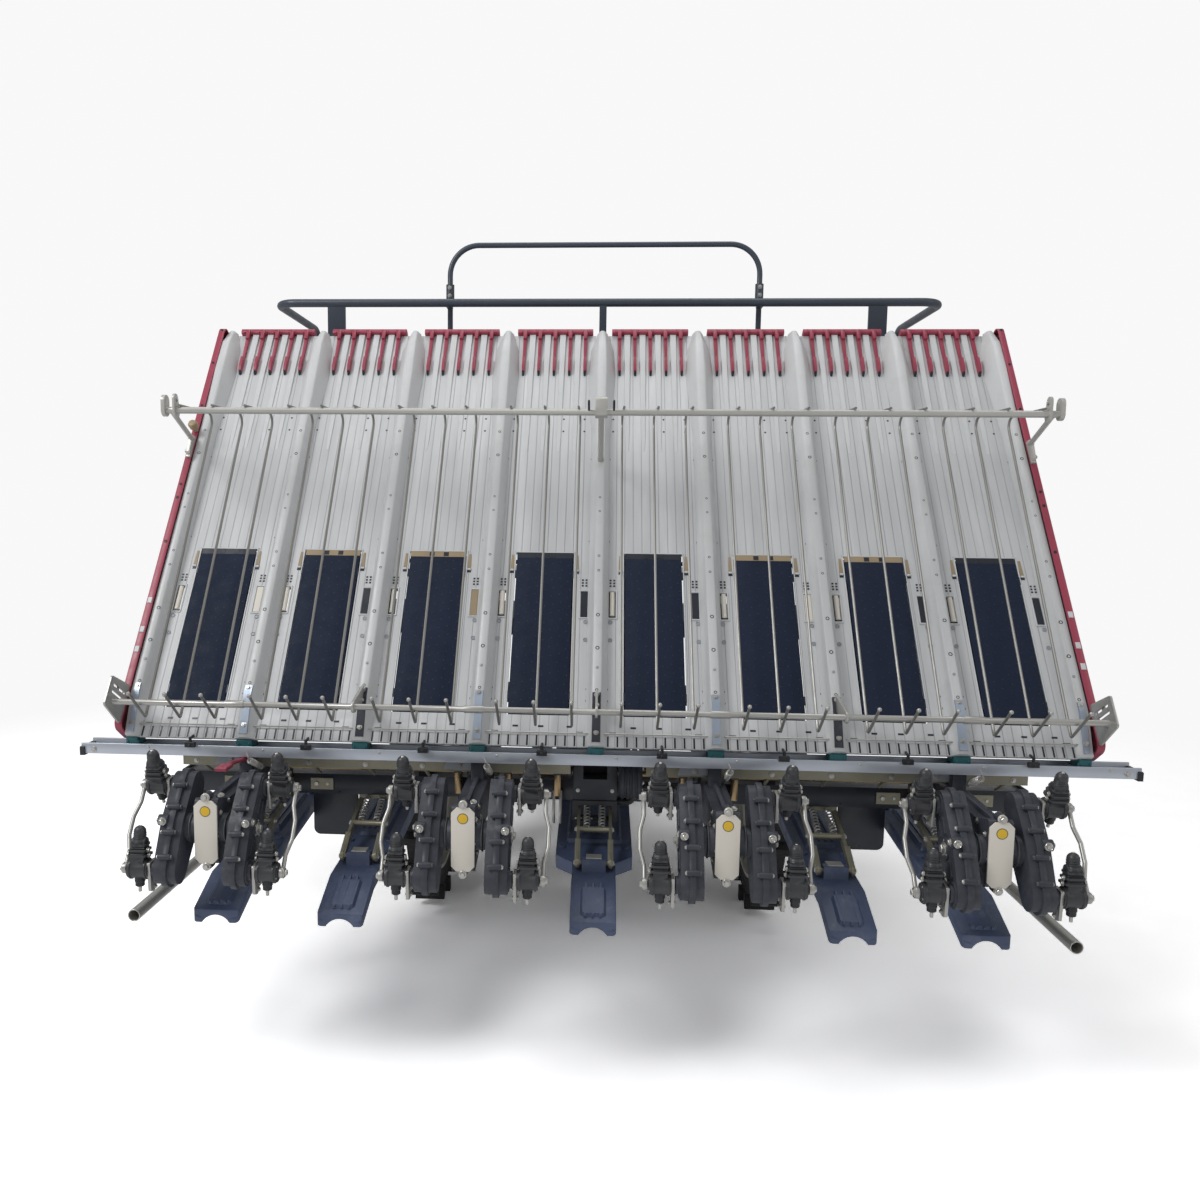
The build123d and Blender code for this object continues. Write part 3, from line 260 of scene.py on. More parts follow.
FINISHES = {name: finish for finish, names in (
    (PANEL_WHITE, "table_panel"), (PLASTIC_WHITE, "row_dividers"), (BELT, "feed_belts"),
    (CRIMSON, "table_side_covers top_guides"), (TEAL, "slide_shoes"), (PAINTED_BAR, "retainer_bar"),
    (STEEL, "press_bar rotor_bars planting_claws_upper planting_claws_lower lift_rod"),
    (ROD_STEEL, "retainer_rods"), (ALUMINIUM, "slide_rail"), (CASE_GREY, "drive_cases rotary_cases"),
    (CREAM, "case_covers"), (BRONZE, "cross_shafts"), (KHAKI, "float_brackets"), (SCREW, "side_pipes"),
    (NAVY_BLACK, "planter_frame mud_panels lower_link upper_link front_bumper"),
    (DRUM_GREY, "planting_arms_upper planting_arms_lower"), (CHASSIS, "lift_cylinder chassis_frame"),
    (CAST, "rear_axle_case front_axle_case engine_block"), (SEAT_COVER, "seat"),
    (DECK, "floor_deck rear_deck steering_console steering_wheel"),
    (CRIMSON_PAINT, "seat_base bonnet"), (RAIL_PAINT, "guard_rail rear_hoop"),
) for name in names.split()}
FINISHES_BY_WORD = {"rim": RIM, "tyre": TYRE, "knuckle": CAST, "spare_rack": RACK, "float_": FLOAT}


def finish_for(node):
    """Finish of a CAD node, by its name or else by a word in it."""
    return FINISHES.get(node) or next(f for word, f in FINISHES_BY_WORD.items() if word in node)


def dress_cad_nodes():
    """Every CAD node gets its finish and slightly broken edges, its form stays."""
    for name, node in NODES.items():
        node.data.materials.clear()
        node.data.materials.append(finish_for(name))
        if name == "retainer_rods":
            smooth(node.data)
            continue
        configure(node.modifiers.new("weld", "WELD"), merge_threshold=1e-5)
        configure(node.modifiers.new("soften", "BEVEL"), width=0.0012, segments=2,
                  limit_method="ANGLE", angle_limit=radians(40))
        smooth(node.data, 32)


dress_cad_nodes()


# ---------------------------------------------------------------- mesh kit
# Lengths inside a kit are millimetres; its frame turns them into metres of the shared frame.
WORLD = Matrix.Scale(0.001, 4)
UP, REAR, RIGHT = (0, 0, 1), (0, -1, 0), (1, 0, 0)
KITS = []


def frame_at(origin, *axes):
    """Frame with its origin in metres and three axes, for lengths in millimetres."""
    return Matrix.Translation(origin) @ Matrix(axes).transposed().to_4x4() @ WORLD


def span(middle, half):
    """Limits at the same distance on both sides of a middle."""
    return (middle - half, middle + half)


def circle(x, y, z, radius, count, turn=0.0):
    """Points evenly spaced round (y, z), all at the same x."""
    angles = [2 * pi * k / count + turn for k in range(count)]
    return [Vector((x, y + radius * cos(a), z + radius * sin(a))) for a in angles]


def kits(node, frame=WORLD, **pieces):
    """One kit for every piece name and its finish; the pieces move with the same CAD node."""
    made = [Kit(name, node, finish, frame) for name, finish in pieces.items()]
    KITS.extend(made)
    return made


class Kit:
    """Gathers the faces of one piece and joins them into a single mesh."""

    def __init__(self, name, node, material, frame=WORLD):
        self.name, self.node, self.material, self.frame = name, node, material, frame
        self.points = []
        self.faces = []

    def rings(self, rings):
        """Closed skin over rings that have the same number of points."""
        n, first = len(rings[0]), len(self.points)
        last = first + (len(rings) - 1) * n
        self.points += [tuple(self.frame @ Vector(point)) for ring in rings for point in ring]
        self.faces += [[r + i, r + (i + 1) % n, r + n + (i + 1) % n, r + n + i]
                       for r in range(first, last, n) for i in range(n)]
        self.faces += [[first + i for i in reversed(range(n))], [last + i for i in range(n)]]

    def lathe(self, place, axis, profile, sides=12):
        """Turned form: profile lists (height along the axis, radius)."""
        place, axis = Vector(place), Vector(axis).normalized()
        side = axis.orthogonal().normalized()
        across = axis.cross(side)
        angles = [2 * pi * i / sides for i in range(sides)]
        self.rings([[place + axis * height + (side * cos(t) + across * sin(t)) * radius for t in angles]
                    for height, radius in profile])

    def bolt(self, place, axis, size):
        """Hexagon head with a broken top edge, on a washer."""
        self.lathe(place, axis, [(-1, size * 1.5), (size * 0.2, size * 1.5), (size * 0.3, size * 1.4)], 14)
        self.lathe(place, axis, [(0, size), (size * 0.75, size), (size * 0.95, size * 0.82)], 6)

    def dome(self, place, axis, size, height=None):
        """Rounded head."""
        height = height or size * 0.6
        self.lathe(place, axis, [(-1, size), (height * 0.35, size), (height * 0.75, size * 0.78),
                                 (height, size * 0.35)], 10)

    def hole(self, place, size):
        """Dark ring round a small sunken screw, facing up: its dark colour is painted shade in the recess.
        """
        self.lathe(place, UP, [(-1, size), (0.6, size), (0.9, size - 0.8), (0.1, 0.6)], 10)

    def ball(self, place, size):
        profile = [(-size * cos(pi * k / 6), size * max(sin(pi * k / 6), 0.05)) for k in range(7)]
        self.lathe(place, UP, profile, 8)

    def bar(self, x, sections, trim):
        """Bar along y, narrower at its top; a section is (y, half its width, foot, top)."""
        self.rings([[(x - half, y, foot), (x + half, y, foot), (x + half - trim, y, top),
                     (x - half + trim, y, top)] for y, half, foot, top in sections])

    def prism(self, outline, low, high, edge=0.0, plane="xy"):
        """Outline of (a, b) points raised from low to high, its upper edge broken by a chamfer."""
        def put(a, b, c):
            return {"xy": (a, b, c), "xz": (a, c, b), "yz": (c, a, b)}[plane]
        count = len(outline)
        area = sum(outline[i - 1][0] * outline[i][1] - outline[i][0] * outline[i - 1][1]
                   for i in range(count))
        hand = 1 if area > 0 else -1
        inner = []
        for i in range(count):
            here, before, after = (Vector(outline[k]) for k in (i, i - 1, (i + 1) % count))
            a, b = (here - before).normalized(), (after - here).normalized()
            normal = Vector((-a.y - b.y, a.x + b.x)) * hand
            normal = normal.normalized() / max(0.5, cos(a.angle(b) / 2)) if normal.length else normal
            inner.append(here + normal * edge)
        rings = [[put(a, b, low) for a, b in outline]]
        if edge:
            step = edge if high > low else -edge
            rings.append([put(a, b, high - step) for a, b in outline])
            rings.append([put(p.x, p.y, high) for p in inner])
        else:
            rings.append([put(a, b, high) for a, b in outline])
        self.rings(rings)

    def box(self, x, y, z, edge=1.0):
        """Box between the limits x, y and z, with its edges along z's far face broken."""
        outline = [(x[0], y[0]), (x[1], y[0]), (x[1], y[1]), (x[0], y[1])]
        self.prism(outline, z[0], z[1], min(edge, (x[1] - x[0]) / 3, abs(z[1] - z[0]) / 2))

    def tube(self, points, radius, bend=0.0, sides=8, ends=True):
        """Round bar through points, its corners rounded by the bend radius."""
        points = [Vector(p) for p in points]
        path = [points[0]]
        for before, here, after in zip(points, points[1:], points[2:]):
            a, b = before - here, after - here
            cut = min(bend, a.length * 0.45, b.length * 0.45)
            start, end = here + a.normalized() * cut, here + b.normalized() * cut
            steps = 6 if cut else 1
            for k in range(steps):
                t = k / max(1, steps - 1)
                path.append(start.lerp(here, t).lerp(here.lerp(end, t), t))
        path.append(points[-1])
        path = [p for i, p in enumerate(path) if i == 0 or (p - path[i - 1]).length > 1e-4]
        way = (path[1] - path[0]).normalized()
        side = way.orthogonal().normalized()
        rings = []
        for i, point in enumerate(path):
            ahead = (path[min(i + 1, len(path) - 1)] - path[max(i - 1, 0)]).normalized()
            side = (side - ahead * side.dot(ahead)).normalized()
            across = ahead.cross(side)
            ring = [point + (side * cos(2 * pi * k / sides) + across * sin(2 * pi * k / sides)) * radius
                    for k in range(sides)]
            if ends and i == 0:
                rings.append([point - ahead * radius * 0.3 + (q - point) * 0.7 for q in ring])
            rings.append(ring)
            if ends and i == len(path) - 1:
                rings.append([point + ahead * radius * 0.3 + (q - point) * 0.7 for q in ring])
        self.rings(rings)

    def spring(self, start, end, radius, wire, turns):
        """Coil between two points."""
        start, end = Vector(start), Vector(end)
        way = (end - start).normalized()
        side = way.orthogonal().normalized()
        across = way.cross(side)
        steps = int(turns * 12)
        self.tube([start.lerp(end, k / steps) + (side * cos(k * pi / 6) + across * sin(k * pi / 6)) * radius
                   for k in range(steps + 1)], wire, 0, 6)

    def finish(self):
        """Joined mesh of everything added, moving with the body that holds the CAD node."""
        mesh = bpy.data.meshes.new(self.name)
        mesh.from_pydata(self.points, [], self.faces)
        form = bmesh.new()
        form.from_mesh(mesh)
        bmesh.ops.recalc_face_normals(form, faces=form.faces)
        form.to_mesh(mesh)
        form.free()
        smooth(mesh, 35)
        mesh.materials.append(self.material)
        piece = new_object(self.name, mesh)
        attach(piece, NODES[self.node]["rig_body"])
        return piece


# ---------------------------------------------------------------- frames and driving places
SLOPE = radians(54.75)
COS, SIN = cos(SLOPE), sin(SLOPE)
PANEL_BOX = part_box("table_panel")
LIP = Vector((0, PANEL_BOX[0].y, PANEL_BOX[0].z + 0.008 * COS))
TABLE = frame_at(LIP, RIGHT, (0, COS, SIN), (0, -SIN, COS))
JOINT = {joint["name"]: Vector(joint["pos_m"]) for joint in frame["joints"] if "pos_m" in joint}
ROTOR = JOINT["rotor_spin"] * 1000
ROW_CENTRES = [(i - 3.5) * 300 for i in range(8)]
DIVIDERS = [(i - 4) * 300 for i in range(9)]
UNITS = (-900, -300, 300, 900)
ROTORS = [(x, side) for x in UNITS for side in (-1, 1)]
TILT = radians(35)
HOOP_X = 526
NOSE_Y, NOSE_Z = 1333.5, 762.6


def crest_height(s):
    """Height of the ridges' crest above the panel, s up the slope."""
    stations = ((0, 14), (110, 38), (1000, 38), (1230, 44), (1340, 42), (1412, 16))
    for (s0, h0), (s1, h1) in zip(stations, stations[1:]):
        if s <= s1:
            return h0 + (h1 - h0) * (s - s0) / (s1 - s0)
    return stations[-1][1]


def divider_x(x):
    """Middle of a ridge's crest; the table's edge ridges keep only their inner part."""
    return max(-1194, min(1194, x))


# ---------------------------------------------------------------- table pieces
def table_ribs():
    """Four tapering ribs above every row's belt."""
    (ribs,) = kits("table_panel", TABLE, table_ribs=PLASTIC_WHITE)
    for row in ROW_CENTRES:
        for offset in (-72, -24, 24, 72):
            ribs.bar(row + offset, [(940, 5, -0.6, 0.4), (1000, 7, -0.6, 2.2), (1240, 9, -0.6, 4.6),
                                    (1404, 11, -0.6, 6.0)], 1.5)


def divider_screws():
    """Screw holes along the crests, dark with painted shade, pale bosses beside them and small marks on the
    panel.
    """
    dark, light = kits("row_dividers", TABLE, divider_screw_holes=NAVY_BLACK, divider_bosses=CASE_LIGHT)
    for x in DIVIDERS:
        middle = divider_x(x)
        for s, size in ((981, 4.2), (894, 4.8), (745, 3.2), (697, 3.2), (548, 3.6), (501, 3.6), (362, 5.2),
                        (263, 5.4), (142, 4.2)):
            # Painted shade: dark cups stand for the shade inside the crest holes.
            dark.lathe((middle, s, crest_height(s)), UP,
                       [(-2, size), (0.3, size), (0.5, size * 0.7), (-0.4, size * 0.5)], 12)
        light.dome((middle, 206, crest_height(206)), UP, 4.2, 1.6)
        for edge in (-1, 1):
            if abs(x + edge * 33) > 1200:
                continue
            for s in (360, 306):
                light.lathe((x + edge * 33, s, 0), UP,
                            [(-1, 6.0), (1.2, 6.0), (1.8, 5.2), (0.6, 4.2), (0.6, 0.8)], 14)
            for s in (161, 128, 910, 620):
                dark.hole((x + edge * 26, s, 0), 3.4)
    for row in ROW_CENTRES:
        for offset, s in product((-114, -72, 37, 100), (1015, 1062)):
            dark.lathe((row + offset, s, 0), UP, [(-1, 3.0), (0.5, 3.0), (0.7, 2.4), (0.1, 0.6)], 10)
        for offset in (-56, 9, 82):
            dark.box(span(row + offset, 7), (52, 57), (-0.5, 0.9), 0.3)


def panel_windows():
    """Framed rollers and gauge inserts in the windows, slots and clips beside the ridges."""
    frames, rollers, tan, dark, cream = kits(
        "table_panel", TABLE, window_frames=PLASTIC_WHITE, window_rollers=CREAM, gauge_strips_tan=TAN,
        gauge_strips_dark=NAVY_BLACK, gauge_strips_cream=CREAM)
    inserts = (cream, dark, tan, dark, dark, cream, dark, dark)
    for row, insert in zip(ROW_CENTRES, inserts):
        for side in (-1, 1):
            x = row + side * 112
            for a, b, c, d in ((x - 14, x + 14, 370, 374), (x - 14, x + 14, 456, 460),
                               (x - 14, x - 10, 373, 457), (x + 10, x + 14, 373, 457)):
                frames.box((a, b), (c, d), (-1, 2.6), 0.8)
            if side < 0:
                rollers.lathe((x, 378, -1), (0, 1, 0), [(0, 3), (1, 6.8), (74, 6.8), (75, 3)], 14)
                for s in (376, 450):
                    dark.box(span(x, 9), (s - 1.4, s + 3.4), (-2, 1.4), 0.4)
                dark.box((x - 9.4, x - 7.4), (376, 454), (-2, 1.2), 0.4)
            else:
                insert.box(span(x, 9), (375, 455), (-7, 1.2), 0.8)
            for column, s in product((-5, 5), (474, 483, 492)):
                dark.box(span(x + column, 2.6), span(s, 2.6), (-0.5, 0.8), 0.2)
            clip = row + side * 90
            for kit, wide, s0, thin, s1, top, edge in ((tan, 5, 526, 3, 572, 1.6, 0.6),
                                                       (dark, 5.5, 512, 5, 526, 1.4, 0.5)):
                kit.prism([(clip - wide, s0), (clip + wide, s0), (clip + thin, s1), (clip - thin, s1)],
                          -1, top, edge)
            frames.box(span(clip, 5), (518, 524), (-1, 5), 1.2)


def belt_details():
    """Studs on the belts, the strip that bridges each belt's upper end, and its side lips."""
    (studs,) = kits("feed_belts", TABLE, belt_studs=BELT_STUD)
    lips, tan, dark = kits("table_panel", TABLE, belt_lips=PLASTIC_WHITE, belt_end_strips_tan=TAN,
                           belt_end_strips_dark=NAVY_BLACK)
    tan_ends = (1, 2, 5, 6)
    for number, row in enumerate(ROW_CENTRES):
        for i, k in product(range(7), range(17)):
            place = (row - 66 + 22 * i + (k % 2) * 5, 120 + 26 * k + (i % 3) * 6, 3)
            studs.lathe(place, UP, [(-0.8, 2.0), (0.5, 1.9), (0.9, 1.0)], 6)
        strip = tan if number in tan_ends else dark
        strip.box(span(row, 78), (560, 579), (-0.6, 3.0), 1.0)
        for offset in (-18, 22):
            dark.box(span(row + offset, 7), (563, 576), (2, 3.8), 0.4)
        for a, b, c, d in ((-84, 84, 579, 582.5), (-84, -80.5, 92, 582), (80.5, 84, 92, 582)):
            lips.box((row + a, row + b), (c, d), (-1, 2.4), 0.6)
        for offset, s in product((-79, 79), (128, 496)):
            dark.box(span(row + offset, 2.5), (s, s + 24), (-1, 2.8), 0.5)


def lip_details():
    """Straps at the ridges' feet, the toothed strip at the lip with painted shade as dark strips in its
    grooves, and the wire across it.
    """
    strap, dark_strap, screws = kits("row_dividers", TABLE, ridge_straps=BLUE_ZINC,
                                     stand_straps=CASE_GREY, strap_screws=SCREW)
    grooves, wire = kits("table_panel", TABLE, lip_grooves=NAVY_BLACK, lip_wire=STEEL)
    for x in DIVIDERS:
        middle = divider_x(x)
        kit = dark_strap if x in (-600, 0, 600) else strap
        half = 11 if abs(x) < 1200 else 8
        kit.bar(middle, [(s, half, crest_height(s) - 1, crest_height(s) + 3)
                         for s in (8, 30, 60, 92, 110, 134)], 1)
        for s in (127, 81, 31):
            screws.bolt((middle, s, crest_height(s) + 2.6), UP, 4.6)
    for row in ROW_CENTRES:
        # Painted shade: a dark strip every 24 mm stands for the shade in each groove of the lip.
        for k in range(-5, 6):
            grooves.box(span(row + 24 * k, 2), (2, 30), (-0.5, 0.9), 0.3)
        for k in (-108, 108):
            grooves.box(span(row + k, 9), (36, 41), (-0.5, 1.2), 0.4)
    wire.tube([(-1206, 34, 8), (1206, 34, 8)], 2.0, 0, 8)
    for x in DIVIDERS:
        stand = divider_x(x) + (20 if x < 1200 else -14)
        wire.tube([(stand, 44, 0), (stand, 34, 8.6)], 2.2, 0, 8)


def cap_details():
    """Ridges over the end caps, dark finger tips and the dots along the side covers."""
    ridges, fingers, tips = kits("top_guides", TABLE, cap_ridges=CRIMSON, finger_ends=CRIMSON,
                                 finger_tips=NAVY_BLACK)
    dots, tabs = kits("table_side_covers", TABLE, cover_screws=NAVY_BLACK, cover_tabs=PLASTIC_WHITE)
    for row in ROW_CENTRES:
        for offset in range(-108, 109, 24):
            ridges.tube([(row + offset, s, h) for s, h in ((1406, 14), (1420, 13.4), (1423.4, 6),
                                                           (1423.6, -6), (1418, -13.4))], 1.8, 5, 6)
        for offset in (-96, -48, 0, 48, 96):
            tips.bar(row + offset, [(1236, 2.8, -0.5, 3), (1240, 4.0, -0.5, 8), (1248, 4.4, -0.5, 12.4)], 1)
            fingers.bar(row + offset, [(1247, 4.6, -0.5, 12.8), (1262, 5, -0.5, 17),
                                       (1300, 5, -0.5, 17.2)], 1)
    for side in (-1, 1):
        x = side * 1219
        for s in (1384, 1244, 1070, 772, 725, 573):
            dots.lathe((x, s, 46), UP, [(-1, 4.6), (0.7, 4.6), (1.1, 3.6), (0.2, 3), (0.2, 0.7)], 12)
        for s in (380, 290, 230):
            tabs.box(span(x, 6), span(s, 9), (45, 48.4), 1)
        for s in (150, 420, 690, 960, 1230):
            dots.bolt((side * 1227.4, s, 0), (side, 0, 0), 5)


def rod_details():
    """Ball ends on the hooks, clips on the bars, the bars' bolts and the table's knob."""
    (balls,) = kits("retainer_rods", TABLE, rod_balls=STEEL)
    clips, bolts = kits("retainer_bar", TABLE, rod_clips=NAVY_BLACK, bar_bolts=STEEL)
    (knob,) = kits("table_side_covers", TABLE, table_knob=TAN)
    for row, offset in product(ROW_CENTRES, (-90, 0, 90)):
        balls.ball((row + offset, 38, 181), 5.6)
    for side in (-1, 1):
        for x, s, h in ((1216, 74, 132), (1216, 92, 96), (1221.6, 884, 57), (1221.6, 930, 58)):
            bolts.bolt((side * x, s, h), (side, 0, 0), 5)
        bolts.bolt((side * 1188, 830, 300), (side, 0, 0), 6)
        bolts.bolt((side * 1150, 852, 318), (-side, 0, 0), 4.4)
    knob.lathe((-1216, 972, 46), UP, [(0, 6), (14, 6), (16, 13), (30, 14.5), (36, 11), (38, 4)], 16)
    for x, s in product((-600, 0, 600), (96, 128)):
        bolts.bolt((x + 3, s, 46), RIGHT, 4.2)
    bolts.dome((0, 830, 309), UP, 5)
    for x in (-33, 33):
        clips.lathe((x, 830, 300), UP, [(0, 3), (44, 3), (46, 2)], 8)


# ---------------------------------------------------------------- planting units
def cover_details():
    """Bolts, marks and rings on the rear of each gear case."""
    bolts, marks = kits("case_covers", case_bolts=SCREW, cover_marks=YELLOW)
    rings, hooks = kits("drive_cases", case_rings=CAST, case_springs=STEEL)
    y, z = ROTOR.y, ROTOR.z
    rear = y - 41
    for x in UNITS:
        for side in (-1, 1):
            bolts.bolt((x, rear, z + side * 82), REAR, 6.5)
            bolts.lathe((x + side * 33, rear + 30, z), REAR, [(-4, 5), (5, 5), (7, 3.4)], 10)
            rings.lathe((x + side * 40, y, z), (side, 0, 0),
                        [(-1, 35.6), (1, 38.5), (3, 38.5), (4, 35.6)], 28)
            for spot in circle(x + side * 27, y + 22, z + 6, 52, 6, 0.3):
                bolts.bolt(spot, (side, 0, 0), 4.6)
        marks.lathe((x, rear, z + 50), REAR, [(-1, 11), (0.7, 11), (0.9, 10)], 20)
        rings.lathe((x, rear, z + 50), REAR, [(-1, 12.6), (0.5, 12.6), (0.6, 11.8)], 20)
        bolts.bolt((x, -1240, 726), UP, 7)
        bolts.bolt((x + 18, y + 12, z + 74), (0, -0.3, 1), 5.6)
        # Spring hooked over the top of the case.
        hooks.spring((x + 30, -1395, 742), (x + 30, -1310, 705), 7, 1.8, 9)
        hooks.tube([(x + 30, -1395, 742), (x + 30, -1405, 752), (x + 24, -1400, 764)], 2, 4, 6)


def rotor_place(x, side, reach, run=0, out=0):
    """Place reach beside the unit's middle, run along its leaning rotor case and out across it."""
    return Vector((x + side * reach, ROTOR.y + run * sin(TILT) + out * cos(TILT),
                   ROTOR.z + run * cos(TILT) - out * sin(TILT)))


def rotary_details():
    """Flange bolts, boss bolt, hub bolts and ribs of the rotor cases."""
    bolts, nuts, boss, ribs = kits("rotary_cases", rotor_bolts=SCREW, rotor_nuts=CAST,
                                   rotor_hub_bolts=SCREW, rotor_ribs=CASE_GREY)
    for x, side in ROTORS:
        axis = (side, 0, 0)
        for share, edge in product((-0.85, -0.3, 0.3, 0.85), (-1, 1)):
            lug = (share * 102, edge * (55 - 12 * abs(share)))
            bolts.bolt(rotor_place(x, side, 94, *lug), axis, 4)
            nuts.lathe(rotor_place(x, side, 66, *lug), (-side, 0, 0), [(-1, 5.4), (4, 5.4), (5, 4.4)], 6)
        boss.bolt(rotor_place(x, side, 110, 0, -46), axis, 6)
        boss.lathe(rotor_place(x, side, 98, 0, -46) + Vector((0, -12, 0)), REAR,
                   [(-3, 9.5), (2, 9.5), (3, 8.6), (3, 6.4), (9, 6.2), (10, 5), (8, 3.4), (8, 0.6)], 16)
        hub = rotor_place(x, side, 109)
        boss.bolt(hub, axis, 10)
        for spot in circle(*hub, 18, 5):
            boss.dome(spot, axis, 2.8)
        # Cast ribs that run from the hub to the ends on the outer face.
        for sign, off in product((-1, 1), (-13, 13)):
            ribs.tube([rotor_place(x, side, 106, sign * run, off) for run in (30, 70)], 3.0, 0, 8)


def arm_details(name, lean, neck):
    """Lid screws, boot collar, push-rod nut and shaft bolts on each planting arm."""
    finishes = {"collars": BOOT_BLACK, "bolts": SCREW, "caps": CAST, "seams": DRUM_GREY}
    dark, bright, knobs, seams = kits(
        "planting_arms_" + name, **{f"arm_{name}_{part}": finish for part, finish in finishes.items()})
    pivot = JOINT["arm_swing_" + name] * 1000
    up = Vector((0, sin(radians(lean)), cos(radians(lean))))
    fore = Vector((0, cos(radians(lean)), -sin(radians(lean))))
    for x, side in ROTORS:
        middle = Vector((x + side * 150.5, pivot.y, pivot.z))
        top = middle + up * neck
        for height, half in ((-24, 23.6), (-12, 21.6)):
            for edge in (-1, 1):
                spot = top + up * (height - 3.5) + Vector((edge * half, 0, 0)) - fore * 6
                bright.bolt(spot, (edge, 0, 0), 4.2)
        dark.lathe(top, up, [(-5, 18.2), (-1, 18.8), (2, 18.8), (4, 17.4)], 24)
        for k in range(3):
            dark.lathe(top, up, [(10 + 5 * k, 13.6), (11.5 + 5 * k, 15.0), (13 + 5 * k, 13.6)], 24)
        bright.dome(top + up * 39.4, up, 3.6, 1.8)
        knobs.lathe(middle + Vector((side * 24, 0, 0)), (side, 0, 0),
                    [(-1, 15), (1.6, 15), (2.4, 13.6)], 20)
        for spot in circle(middle.x + side * 24.6, middle.y, middle.z, 18.6, 4, 0.5):
            bright.dome(spot, (side, 0, 0), 2.4, 1.4)
        bright.bolt(Vector((x + side * 189.5, pivot.y, pivot.z)), (side, 0, 0), 7.5)
        # Parting line and ribs of the moulded arm.
        for height in (26, 38, 50):
            spot = middle + up * height
            seams.tube([spot + Vector((reach, 0, 0)) - fore * 15 for reach in (-16.6, 16.6)], 1.5, 0, 6)
        seams.tube([middle + up * 22 - fore * 16, top - up * 32 - fore * 12], 2.0, 0, 6)
        # Push rod below the drum with its collar, pin and the seedling pusher.
        low = middle - up * 22
        dark.lathe(low, -up, [(-3, 12), (8, 12), (10, 10.5), (18, 10.5), (20, 8)], 16)
        bright.lathe(low - up * 18, -up, [(-1, 4), (14, 4), (15, 3)], 10)
        claw = Vector((x + side * 122.5, pivot.y, pivot.z))
        for a, b in ((22, -32), (36, -30), (6, -44)):
            for face in (side, -side):
                bright.bolt(claw + Vector((face * 4.6, a, b)), (face, 0, 0), 3.8)


